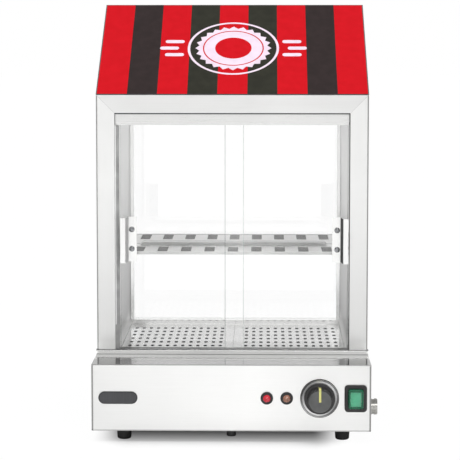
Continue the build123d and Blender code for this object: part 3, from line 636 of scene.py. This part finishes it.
def signEmblem():
    # a plain rosette in a ring, with three bars each side
    rosette = flatDisc(emblem["rosette"], 2 * emblem["petals"])
    inner = {v.index for v in rosette.data.vertices if v.index % 2}
    pick(rosette, "verts", lambda v: v.index in inner)
    bpy.ops.transform.resize(value=(emblem["petalDip"],) * 3, center_override=(0, 0, 0))
    mode("OBJECT")
    layers = [
        (flatRing(emblem["ringOuter"], emblem["ringLine"], 96), "emblemRing", 0, 0, 0, paleVinyl),
        (rosette, "emblemRosette", 0, 0, 0, paleVinyl),
        (flatRing(emblem["band"], emblem["bandLine"], 72), "emblemBand", 0, 0, 1, emblemRed),
        (flatDisc(emblem["disc"], 64), "emblemDisc", 0, 0, 1, emblemRed),
    ]
    bar = start(bpy.ops.mesh.primitive_plane_add, size=1)
    bar.scale = (emblem["barLength"], emblem["barHeight"], 1)
    settle(bar, "emblemBar")
    editAll()
    bpy.ops.mesh.bevel(offset=emblem["barRound"] * emblem["barHeight"], segments=6, affect="VERTICES")
    mode("OBJECT")
    for side in (-1, 1):
        for number, (height, out) in enumerate(emblem["bars"]):
            label = f"emblemBar{'Left' if side < 0 else 'Right'}{number + 1}"
            layers.append((copied(bar, label, Vector()), label, side * out, height, 0, paleVinyl))
    bpy.data.objects.remove(bar)
    for piece, name, across, along, layer, material in layers:
        thickened(piece, emblem["film"])
        laidOnSign(piece, name, across, along, aboveStripes + layer * (emblem["film"] + sign["gap"]))
        finished(piece, "steamer", "sign_enamel", material)


signEmblem()
print("stage: sign")


knobLow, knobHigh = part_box("knob")
knobAxis = middle("knob_dial")
knob = {
    "skirtRadius": (knobHigh.x - knobLow.x) / 2,
    "skirtEdge": 0.9 * mm,
    "skirtBevel": 0.3 * mm,
    "skirtHeight": 3.5 * mm,
    "footRadius": 15.9 * mm,
    "footFlare": (1.0 * mm, 0.6 * mm),      # how far the grip's foot spreads, and from what height
    "taper": 0.4 * mm,
    "faceRadius": 15.0 * mm,
    "faceEdge": 0.7 * mm,
    "dish": 0.5 * mm,           # the face is slightly hollow
    "insertRadius": 14.2 * mm,
    "insertStep": (0.3 * mm, 0.25 * mm),
    "flutes": 48,
    "fluteSpan": (0.3, 0.7),    # the part of each share of the turn that is hollow
    "fluteDepth": 0.965,        # the hollows' radius, as a share of the grip's
    "fluteClear": 0.2 * mm,
    "steps": 192,
}


def turnedArc(radius, place, size, parts):
    # points of a rounded edge about (radius, place), a quarter turn from the side to the front
    angles = [pi / 2 * i / parts for i in range(parts + 1)]
    return [(radius + size * cos(a), place - size * sin(a)) for a in angles]


def fromAxis(point):
    return hypot(point.x - knobAxis.x, point.z - knobAxis.z)


def controlKnob():
    back, front = knobHigh.y, knobLow.y
    skirtFront = back - knob["skirtHeight"]
    edge, faceEdge = knob["skirtEdge"], knob["faceEdge"]
    skirt, foot, insert = knob["skirtRadius"], knob["footRadius"], knob["insertRadius"]
    bevel, dish = knob["skirtBevel"], front + knob["dish"]
    flare, rise = knob["footFlare"]
    step, drop = knob["insertStep"]
    outline = [(0, back), (skirt - bevel, back), (skirt, back - bevel)]
    outline += turnedArc(skirt - edge, skirtFront + edge, edge, 4)
    outline += [(foot + flare, skirtFront), (foot, skirtFront - rise)]
    outline += [(foot - knob["taper"], (skirtFront + front) / 2)]
    outline += turnedArc(knob["faceRadius"] - faceEdge, front + faceEdge, faceEdge, 5)
    outline += [(insert, front), (insert - step, front + drop), (0.5 * knob["faceRadius"], dish), (0, dish)]
    piece = spun("controlKnob", outline, knobAxis, knob["steps"])
    share = 2 * pi / knob["flutes"]
    first, last = knob["fluteSpan"]

    def inFlute(vertex):
        turn = atan2(vertex.co.x - knobAxis.x, vertex.co.z - knobAxis.z) % share / share
        side = front + faceEdge - hair < vertex.co.y < skirtFront - knob["fluteClear"]
        return side and fromAxis(vertex.co) > 0.9 * knob["faceRadius"] and first < turn < last

    pick(piece, "verts", inFlute)
    bpy.ops.transform.resize(value=(knob["fluteDepth"], 1, knob["fluteDepth"]),
                             center_override=(knobAxis.x, front, knobAxis.z))
    mode("OBJECT")
    smooth(piece, 30)
    paint(piece, lambda face: face.normal.y < -0.9 and fromAxis(face.center) < insert)
    finished(piece, "knob", "black_plastic", blackPlastic, knobInsert, replaces=("knob",))


controlKnob()

pointer = {"width": 2.8 * mm, "height": 0.5 * mm, "edge": 0.2 * mm, "clear": 0.5 * mm}


def knobPointer():
    # a moulded rib: from the middle of the face to its rim, then back down the grip to the skirt
    face, skirt = knobLow.y, knobHigh.y - knob["skirtHeight"]
    rim = knobAxis.z + knob["faceRadius"]
    height = pointer["height"]
    piece = box("knobPointer", (knobAxis.x, face, (knobAxis.z + rim) / 2),
                (pointer["width"], 2 * height, rim - knobAxis.z + 2 * height))
    editAll()
    bpy.ops.mesh.bisect(plane_co=(0, 0, rim - height), plane_no=(0, 0, 1))
    pick(piece, "faces", lambda f: f.normal.y > 0.9 and f.calc_center_median().z > rim - height)
    back = (0, skirt - face - pointer["clear"], 0)
    bpy.ops.mesh.extrude_region_move(TRANSFORM_OT_translate={"value": back})
    pick(piece, "edges", lambda e: len(e.link_faces) == 2 and e.calc_face_angle() > radians(60))
    bpy.ops.mesh.bevel(offset=pointer["edge"], segments=2)
    mode("OBJECT")
    smooth(piece, 40)
    finished(piece, "knob", "pointer_yellow", yellowPaint, replaces=("knob_pointer",))


knobPointer()

dialLow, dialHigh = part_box("knob_dial")
dial = {
    "outer": (dialHigh.x - dialLow.x) / 2,
    "blackEdge": 0.7 * mm,
    "crest": 0.3 * mm,
    "step": 21.9 * mm,
    "slope": (0.2 * mm, 0.5 * mm),      # the slope ends this far outside the step and this far back
    "stepDrop": 0.8 * mm,
    "neck": 19.0 * mm,
    "inner": 17.5 * mm,
    "dish": 0.9 * mm,           # how far the ring falls away towards the knob
    "steps": 144,
    "ticks": 15,
    "sweep": radians(280),
    "tickSize": Vector((0.45, 0.3, 1.5)) * mm,
    "tickEdge": 0.08 * mm,
    "tickInset": 1.0 * mm,
    "tickSunk": 0.25 * mm,
}


def dialRing():
    front, back = dialLow.y, dialHigh.y
    crest = dial["outer"] - dial["blackEdge"]
    out, drop = dial["slope"]
    outline = [(dial["inner"], back), (dial["outer"], back), (dial["outer"], front + dial["blackEdge"]),
               (crest, front), (crest - dial["crest"], front), (dial["step"] + out, front + drop),
               (dial["step"], front + dial["stepDrop"]), (dial["neck"], front + dial["dish"]),
               (dial["inner"], front + dial["dish"]), (dial["inner"], back)]
    piece = spun("dialRing", outline, knobAxis, dial["steps"])
    smooth(piece, 25)
    paint(piece, lambda face: fromAxis(face.center) > crest)
    finished(piece, "steamer", "knob_metal", dialChrome, blackNylon, replaces=("knob_dial",))


def dialTicks():
    reach = (dial["outer"] - dial["tickInset"] + dial["step"]) / 2
    first = block("tick", -dial["tickSize"] / 2, dial["tickSize"] / 2, dial["tickEdge"])
    marks = []
    for number in range(dial["ticks"]):
        turn = -dial["sweep"] / 2 + dial["sweep"] * number / (dial["ticks"] - 1)
        mark = copied(first, "tick", Vector((0, 0, reach)))
        mark.data.transform(Matrix.Rotation(turn, 4, "Y"))
        mark.data.transform(Matrix.Translation((knobAxis.x, dialLow.y + dial["tickSunk"], knobAxis.z)))
        marks.append(mark)
    bpy.data.objects.remove(first)
    finished(joined("dialTicks", *marks), "steamer", "black_plastic", blackNylon)


dialRing()
dialTicks()
print("stage: knob")


jewel = {
    "facets": 12,
    # each row of corners, as shares of the lens's radius and of its depth
    "rows": [(0.96, 0), (0.98, 0.505), (0.82, 0.681), (0.56, 0.846), (0.20, 0.99175)],
}


def lampJewel(name, node, slot, material):
    # a faceted lens with a flat little crown
    low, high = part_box(node)
    radius, depth = (high.x - low.x) / 2, high.y - low.y
    rows = [(radius * out, high.y - depth * up) for out, up in jewel["rows"]]
    piece = spun(name, [(0, high.y), *rows, (0, low.y)], middle(node), jewel["facets"])
    finished(piece, "steamer", slot, material, replaces=(node,))


lampJewel("redJewel", "lamp_red_lens", "red_lens", redLens)
lampJewel("amberJewel", "lamp_amber_lens", "amber_lens", amberLens)


bootLow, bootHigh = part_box("switch_boot")
boot = {"corner": 3.0 * mm, "crown": 1.6 * mm, "rim": 1.2 * mm, "wall": 0.8 * mm}


def switchBoot():
    # a soft hood: a rounded box, open at the back, with an even wall
    centre, size = middle("switch_boot"), bootHigh - bootLow
    piece = box("switchBoot", centre, size)
    pick(piece, "edges", lambda e: abs(e.verts[0].co.y - e.verts[1].co.y) > mm)
    bpy.ops.mesh.bevel(offset=boot["corner"], segments=6)
    pick(piece, "faces", lambda f: f.normal.y < -0.9)
    bpy.ops.mesh.region_to_loop()
    bpy.ops.mesh.bevel(offset=boot["crown"], segments=5)
    pick(piece, "faces", lambda f: f.normal.y < -0.99)
    bpy.ops.mesh.inset(thickness=boot["rim"])
    pick(piece, "faces", lambda f: f.normal.y > 0.9)
    bpy.ops.mesh.delete(type="FACE")
    mode("OBJECT")
    window = size / 2 - Vector((1, 0, 1)) * (boot["crown"] + boot["rim"])

    def onRim(face):
        off = face.center - centre
        return abs(off.x) > window.x or abs(off.z) > window.z

    # the rim takes the darker copy: painted shade
    paint(piece, onRim)
    applied(piece, "SOLIDIFY", thickness=boot["wall"], offset=-1.0, use_even_offset=True)
    smooth(piece, 35)
    finished(piece, "steamer", "boot_green", bootGreen, bootRimShade, replaces=("switch_boot",))


switchBoot()
print("stage: lamps and switch")

crossHead = {
    # points of the dome, as shares of the head's radius and of its height
    "dome": [(0.97, 0), (1, 0.15), (0.97, 0.55), (0.80, 0.84), (0.48, 0.96)],
    "steps": 40,
    "slotLength": 1.10,         # of the head's radius
    "slotWidth": 0.26,
    "slotDepth": 0.62,          # of the head's height
}


def screwHead(name, centre, radius, base, top):
    # a domed head with a cross recess, which faces from its base to its top along Y
    height = abs(top - base)
    dome = [(radius * out, base + (top - base) * up) for out, up in crossHead["dome"]]
    piece = spun(name, [(0, base), *dome, (0, top)], centre, crossHead["steps"])
    slot = (crossHead["slotLength"] * radius, 2 * crossHead["slotDepth"] * height,
            crossHead["slotWidth"] * radius)
    for turn in (0, pi / 2):
        cutter = box("crossCutter", (centre.x, top, centre.z), slot, turn)
        applied(piece, "BOOLEAN", operation="DIFFERENCE", object=cutter)
        bpy.data.objects.remove(cutter)
    smooth(piece, 30)
    return piece


doorScrew = {
    "shank": 2.0 * mm,
    "head": 3.65 * mm,
    "headHeight": 1.8 * mm,
    "nut": 4.0 * mm,
    "nutHeight": 2.4 * mm,
    # points of the dome nut, as shares of its radius and of its height, down from its top
    "nutDome": [(1, 1), (1, 0.5), (0.8, 0.15), (0.45, 0)],
}


def doorScrewSet():
    # one screw with its dome nut, then a copy at each hole of the two handles
    low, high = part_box("door_left_screws")
    first = Vector(((low.x + high.x) / 2, low.y, low.z + doorScrew["nut"]))
    nut, neck, foot = doorScrew["nut"], low.y + doorScrew["headHeight"], high.y - doorScrew["nutHeight"]
    head = screwHead("head", first, doorScrew["head"], neck, low.y)
    radius = doorScrew["shank"]
    shank = spun("shank", [(0, neck), (radius, neck), (radius, foot), (0, foot)], first, 20)
    dome = [(nut * out, high.y - doorScrew["nutHeight"] * down) for out, down in doorScrew["nutDome"]]
    outline = [(0, foot), *dome, (0, high.y)]
    single = joined("doorScrew", head, shank, spun("nut", outline, first, 24))
    for side in ("left", "right"):
        node = f"door_{side}_screws"
        low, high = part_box(node)
        places = [Vector(((low.x + high.x) / 2, low.y, z)) for z in (low.z + nut, high.z - nut)]
        pair = [copied(single, "screw", place - first) for place in places]
        finished(joined(f"doorScrews{side.capitalize()}", *pair), f"door_{side}", "screw_steel", screwSteel,
                 replaces=(node,))
    bpy.data.objects.remove(single)


caseScrew = {"head": 3.4 * mm, "height": 2.0 * mm, "shank": 1.7 * mm}


def caseScrews():
    low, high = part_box("case_screws")
    radius, base = caseScrew["head"], high.y - caseScrew["height"]
    first = Vector((low.x + radius, base, low.z + radius))
    shank = [(0, base), (caseScrew["shank"], base), (caseScrew["shank"], low.y), (0, low.y)]
    head = screwHead("head", first, radius, base, high.y)
    single = joined("caseScrew", head, spun("shank", shank, first, 16))
    four = [copied(single, "screw", Vector((x, base, z)) - first)
            for x in (low.x + radius, high.x - radius) for z in (low.z + radius, high.z - radius)]
    bpy.data.objects.remove(single)
    finished(joined("caseScrews", *four), "steamer", "screw_steel", screwSteel, replaces=("case_screws",))


doorScrewSet()
caseScrews()
print("stage: screws")

headerLow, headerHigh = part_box("front_header")
opening = {
    "half": 150.5 * mm,
    "top": headerHigh.z - 23.5 * mm,
    "bottom": 104.2 * mm,
    "edging": 0.55 * mm,        # the edging at the left, and how far it shows at the right and above
    "edgingRight": 1.2 * mm,
    "edgingTop": 1.6 * mm,
    "edgingDeep": 2.4 * mm,
    "edgingBack": 1.0 * mm,
}
# The edging is a dark dull strip that paints the shadow in the gaps round the door opening and under the
# sign, with a bead of grey sealant at the left and under the sill.
gapShadeRubber = gritty("gapShadeRubber", "#424242", "#363636", (0.5, 0.65), 0.8, 0.1)
sealant = gritty("greySealant", "#B4B4B4", "#A6A6A6", (0.5, 0.65), 0.8, 0.1)


def openingShadeStrip():
    # a strip round three sides of the door opening, just behind the face: painted shadow in the gap, grey
    # sealant at the left
    edge, half, top, bottom = opening["edging"], opening["half"], opening["top"], opening["bottom"]
    piece = start(bpy.ops.mesh.primitive_plane_add, size=1, rotation=(pi / 2, 0, 0))
    piece.scale = (2 * half, top - bottom, 1)
    piece.location = (caseMiddle, headerLow.y + opening["edgingBack"], (top + bottom) / 2)
    settle(piece, "openingShadeStrip")
    editAll()
    bpy.ops.mesh.inset(thickness=edge)
    bpy.ops.mesh.delete(type="FACE")
    pick(piece, "faces", lambda f: f.calc_center_median().z < bottom + edge)
    bpy.ops.mesh.delete(type="FACE")
    innerRight = caseMiddle + half - 1.5 * edge
    pick(piece, "verts", lambda v: innerRight < v.co.x < innerRight + edge)
    bpy.ops.transform.translate(value=(edge - opening["edgingRight"], 0, 0))
    innerTop = top - 1.5 * edge
    pick(piece, "verts", lambda v: innerTop < v.co.z < innerTop + edge)
    bpy.ops.transform.translate(value=(0, 0, edge - opening["edgingTop"]))
    mode("OBJECT")
    applied(piece, "SOLIDIFY", thickness=opening["edgingDeep"], offset=-1.0)
    paint(piece, lambda face: face.center.x < caseMiddle - half + edge)
    finished(piece, "steamer", "gasket_silicone", gapShadeRubber, sealant)


seam = {"wide": 0.35 * mm, "proud": 0.05 * mm, "short": 1.6 * mm}
weldSteel = patchy("groundWeld", "#C4C4C3", "#B2B2B1", (0.35, 0.5), 1.5)


def mitreSeams():
    # the ground weld across each upper corner of the face
    seams = []
    for side in (-1, 1):
        inner = Vector((caseMiddle + side * opening["half"], headerLow.y, opening["top"]))
        outer = Vector((caseMiddle + side * (headerHigh.x - caseMiddle), headerLow.y, headerHigh.z))
        size = ((outer - inner).length - seam["short"], 2 * seam["proud"], seam["wide"])
        seams.append(box("seam", (inner + outer) / 2, size, -side * pi / 4))
    finished(joined("mitreSeams", *seams), "steamer", "cabinet_steel", weldSteel)


def strip(name, low, high, edge, material):
    # a straight length of painted gap shade, bead or pile on the case
    finished(block(name, low, high, edge), "steamer", "gasket_silicone", material)


gapShadeSize = {"side": 0.5 * mm, "proud": 0.15 * mm, "deep": 0.5 * mm, "half": 0.6 * mm, "edge": 0.12 * mm}


def signGapShade():
    # a dark strip under the lower edge of the sign, which paints the shadow in the gap there
    low = (headerLow.x + gapShadeSize["side"], headerLow.y - gapShadeSize["proud"], headerHigh.z - gapShadeSize["half"])
    high = (headerHigh.x - gapShadeSize["side"], headerLow.y + gapShadeSize["deep"], headerHigh.z + gapShadeSize["half"])
    strip("signGapShade", low, high, gapShadeSize["edge"], gapShadeRubber)


bead = {"side": 0.3 * mm, "proud": 0.25 * mm, "deep": 0.2 * mm, "tall": 0.5 * mm, "edge": 0.12 * mm}


def sillBead():
    # a bead of sealant where the sill stands on the deck
    low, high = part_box("sill_bar")
    strip("sillBead", (low.x + bead["side"], low.y - bead["proud"], low.z),
          (high.x - bead["side"], low.y + bead["deep"], low.z + bead["tall"]), bead["edge"], sealant)


pileSeal = {
    "out": 150.2 * mm,
    "inner": 144.7 * mm,
    "front": 1.3 * mm,
    "deep": 2.2 * mm,
    "headGap": 15.8 * mm,
    "edge": 0.3 * mm,
    "carrier": (149.9 * mm, 148.7 * mm),
    "carrierFoot": 136 * mm,
    "carrierProud": 0.3 * mm,
    "carrierDeep": 0.2 * mm,
    "carrierEdge": 0.1 * mm,
}
# The pile is wool, grey and quite dull, woven on a white polypropylene strip.
woolPile = gritty("woolPile", "#A6A6A6", "#8C8C8C", (0.85, 0.95), 0.5, 0.4)
pileCarrier = gritty("whitePolypropylene", "#F6F6F6", "#EEEEEE", (0.4, 0.5), 0.8, 0.05)


def sidePile():
    # a strip of wool pile beside the left door, closing the gap to the wall, and its pale carrier
    front, head = headerLow.y + pileSeal["front"], opening["top"] - pileSeal["headGap"]
    strip("sidePile", (caseMiddle - pileSeal["out"], front, opening["bottom"]),
          (caseMiddle - pileSeal["inner"], front + pileSeal["deep"], head), pileSeal["edge"], woolPile)
    outer, inner = pileSeal["carrier"]
    foot = (caseMiddle - outer, front - pileSeal["carrierProud"], pileSeal["carrierFoot"])
    top = (caseMiddle - inner, front + pileSeal["carrierDeep"], head)
    strip("pileCarrier", foot, top, pileSeal["carrierEdge"], pileCarrier)


openingShadeStrip()
mitreSeams()
signGapShade()
sillBead()
sidePile()
print("stage: door opening")


rearHem = {
    "wide": 4.6 * mm,
    "deep": 1.6 * mm,
    "fall": 1.1 * mm,
    "edge": 0.25 * mm,
    "endGap": 0.5 * mm,
    "sideGap": 0.3 * mm,
    "off": 0.02 * mm,
}
windowLow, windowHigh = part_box("rear_gasket")


def rearHems():
    # the sheet beside the rear window is folded back on itself, so its face leans in a little
    wide, deep = rearHem["wide"], rearHem["deep"]
    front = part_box("rear_frame")[0].y
    inner = windowLow.x - rearHem["sideGap"]
    left = block("rearHemLeft", (inner - wide, front - deep, windowLow.z + rearHem["endGap"]),
                 (inner, front - rearHem["off"], windowHigh.z - rearHem["endGap"]), rearHem["edge"])
    pick(left, "verts", lambda v: v.co.x > inner - 0.5 * wide and v.co.y < front - 0.5 * deep)
    bpy.ops.transform.translate(value=(0, rearHem["fall"], 0))
    mode("OBJECT")
    right = mirroredCopy(left, "rearHemRight", (windowLow.x + windowHigh.x) / 2, Vector())
    for hem in (left, right):
        finished(hem, "steamer", "cabinet_steel", steels["hemSteel"])


rearHems()
print("stage: rear window")


glassEdge = {"width": 0.45 * mm, "proud": 0.03 * mm, "arris": 0.1 * mm}
# A ground edge is matt and greenish grey. The front door's one, on the right, is a darker copy of it, which
# paints shade.
groundEdge = gritty("groundGlassEdge", "#C6CCCA", "#B8BFBD", (0.5, 0.7), 0.8, 0.1)
groundEdgeShaded = gritty("groundGlassEdgeShaded", "#8B908F", "#7C8180", (0.5, 0.7), 0.8, 0.1)


def glassEdges():
    # the ground upright edges where the two doors pass each other
    low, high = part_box("door_left_glass")
    proud = Vector((glassEdge["proud"],) * 3)
    first = block("doorLeftEdge", Vector((high.x - glassEdge["width"], low.y, low.z)) - proud, high + proud,
                  glassEdge["arris"])
    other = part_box("door_right_glass")[0]
    shift = Vector((other.x + glassEdge["width"] - high.x, other.y - low.y, 0))
    second = copied(first, "doorRightEdge", shift)
    finished(first, "door_left", "clear_glass", groundEdge)
    # the front door's edge takes the darker copy: painted shade
    finished(second, "door_right", "clear_glass", groundEdgeShaded)


grip = {
    "plate": 12.5 * mm,
    "strip": 1.5 * mm,
    "reach": 20 * mm,
    "splay": 2.5 * mm,
    "pad": 0.5 * mm,
    "lift": 0.6,                # how far the pad's middle stands off the wall, as a share of the pad
    "margin": 0.4 * mm,
    "edge": 0.15 * mm,
}
# Painted shade on the handles' inner walls: a dull pad, pale grey on the left handle, charcoal on the right
# one.
handleShadePale = gritty("greyHandleShade", "#CACACA", "#BEBEBE", (0.8, 0.95), 0.5, 0.3)
handleShadeDark = gritty("charcoalHandleShade", "#505050", "#424242", (0.8, 0.95), 0.5, 0.3)


def handleShadePads():
    # a thin dull pad on the inner wall of each handle, which paints the shade there
    low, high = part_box("door_left_handle")
    run, splay, margin = grip["reach"] - grip["strip"], grip["splay"], grip["margin"]
    half = Vector((grip["pad"], hypot(run, splay) - margin, high.z - low.z - 2 * margin)) / 2
    pad = block("handleShadePadLeft", -half, half, grip["edge"])
    foot = high.x - grip["plate"] + grip["strip"]
    across, back = foot - splay / 2 + grip["lift"] * grip["pad"], high.y - grip["strip"] - run / 2
    pad.rotation_euler = (0, 0, -atan2(splay, run))
    pad.location = (across, back, (low.z + high.z) / 2)
    settle(pad, "handleShadePadLeft")
    rightLow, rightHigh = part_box("door_right_handle")
    shift = Vector((rightHigh.x + low.x - 2 * caseMiddle, rightLow.y - low.y, 0))
    twin = mirroredCopy(pad, "handleShadePadRight", caseMiddle, shift)
    finished(pad, "door_left", "gasket_silicone", handleShadePale)
    finished(twin, "door_right", "gasket_silicone", handleShadeDark)


glassEdges()
handleShadePads()
print("stage: door trim")


studio = {
    "floorSize": 30.0,
    "worldLight": 0.32,
    # what a mirror finds: (way, where it starts, where it ends, brightness there against 1 at the horizon)
    "screens": [("Z", 0.05, 0.85, 0.50), ("X", 0.30, 0.75, 0.45), ("X", -0.30, -0.75, 0.60)],
    "skylight": {"strength": 2.75, "spread": radians(44), "tilt": (radians(5), radians(1), 0)},
    "lamps": {
        "frontSoftbox": {"at": (0.15, -2.9, 2.3), "size": (1.1, 1.1), "power": 12},
        "leftStrip": {"at": (-2.2, -1.2, 1.1), "size": (0.7, 1.8), "power": 4},
        "rightStrip": {"at": (2.2, -1.0, 1.1), "size": (0.7, 1.8), "power": 4},
        # small glints on the lenses and screws
        "sparkle": {"at": (0.57, -2.3, 1.45), "size": (0.2, 0.2), "power": 1.8},
    },
    "lampAim": Vector((0, 0, 0.25)),
}
# Matt paper with a painted shadow: its colour turns grey under the case. Further out the eye finds it plain
# white.
paper = {
    "light": "#FDFDFD",
    "shade": "#909090",
    "middle": (-0.02, 0.0, 0.0),
    "clear": {"X": (0.115, 0.165), "Y": (0.08, 0.28)},      # from where to where it turns white
    "white": 0.98,
}


def straightSight(tree):
    # 1 for the eye's own rays, also through glass, and 0 for all others
    path = addNode(tree, "LightPath").outputs
    rays = {0: path["Is Camera Ray"], 1: path["Is Transmission Ray"]}
    return addNode(tree, "Math", rays, operation="MAXIMUM")


def addWorld():
    # the eye and clear glass see white, mirrors see a ceiling and sides darker than the horizon
    world = bpy.data.worlds.new("paleStudio")
    bpy.context.scene.world = world
    world.use_nodes = True
    tree = world.node_tree
    lit = tree.nodes["Background"]
    feed(tree, lit, "Color", (1, 1, 1, 1))
    feed(tree, lit, "Strength", studio["worldLight"])
    towards = addNode(tree, "SeparateXYZ", {0: addNode(tree, "TexCoord").outputs["Generated"]})
    tone = 1.0
    for way, near, far, level in studio["screens"]:
        screen = addNode(tree, "MapRange", {"Value": towards.outputs[way], "From Min": near, "From Max": far,
                                            "To Min": 1.0, "To Max": level})
        tone = addNode(tree, "Math", {0: tone, 1: screen}, operation="MULTIPLY")
    mirrored = addNode(tree, "Background", {"Color": tone, "Strength": 1.0})
    seen = addNode(tree, "Background", {"Color": (1, 1, 1, 1), "Strength": 1.0})
    glossy = addNode(tree, "LightPath").outputs["Is Glossy Ray"]
    inner = addNode(tree, "MixShader", {"Fac": glossy, 1: lit, 2: mirrored})
    outer = addNode(tree, "MixShader", {"Fac": straightSight(tree), 1: inner, 2: seen})
    feed(tree, tree.nodes["World Output"], "Surface", outer)


def addFloor():
    floor = start(bpy.ops.mesh.primitive_plane_add, size=studio["floorSize"])
    floor.name = "studioFloor"
    material, tree, shader = startMaterial("mattPaper", {"Roughness": 0.9, "Specular IOR Level": 0.0})
    place = addNode(tree, "TexCoord").outputs["Object"]
    offset = addNode(tree, "VectorMath", {0: place, 1: paper["middle"]}, operation="SUBTRACT")
    away = addNode(tree, "VectorMath", {0: offset}, operation="ABSOLUTE")
    apart = addNode(tree, "SeparateXYZ", {0: away})
    shaded = 1.0
    for axis, (near, far) in paper["clear"].items():
        held = addNode(tree, "MapRange", {"Value": apart.outputs[axis], "From Min": near, "From Max": far,
                                          "To Min": 1.0, "To Max": 0.0}, interpolation_type="SMOOTHSTEP")
        shaded = addNode(tree, "Math", {0: shaded, 1: held}, operation="MULTIPLY")
    white = addNode(tree, "MapRange", {"Value": shaded, "To Min": paper["white"], "To Max": 0.0})
    # painted shadow: the paper's colour is grey under the case and white further out
    tint(tree, shader, white, paper["shade"], paper["light"])
    seen = addNode(tree, "Math", {0: white, 1: straightSight(tree)}, operation="MULTIPLY")
    surface(tree, seen, shader, addNode(tree, "Emission", {"Color": (1, 1, 1, 1), "Strength": 1.0}))
    floor.data.materials.append(material)


def addLamp(name, kind, power):
    data = bpy.data.lights.new(name, kind)
    data.energy = power
    holder = bpy.data.objects.new(name, data)
    bpy.context.scene.collection.objects.link(holder)
    return data, holder


def addLamps():
    sky = studio["skylight"]
    data, holder = addLamp("skylight", "SUN", sky["strength"])
    data.angle = sky["spread"]
    holder.rotation_euler = sky["tilt"]
    holder.visible_glossy = False
    for name, lamp in studio["lamps"].items():
        data, holder = addLamp(name, "AREA", lamp["power"])
        data.shape = "RECTANGLE"
        data.size, data.size_y = lamp["size"]
        holder.location = lamp["at"]
        holder.rotation_euler = (studio["lampAim"] - holder.location).to_track_quat("-Z", "Y").to_euler()
        holder.visible_camera = False


addWorld()
addFloor()
addLamps()
bpy.context.scene.view_settings.view_transform = "Standard"
print("stage: studio")
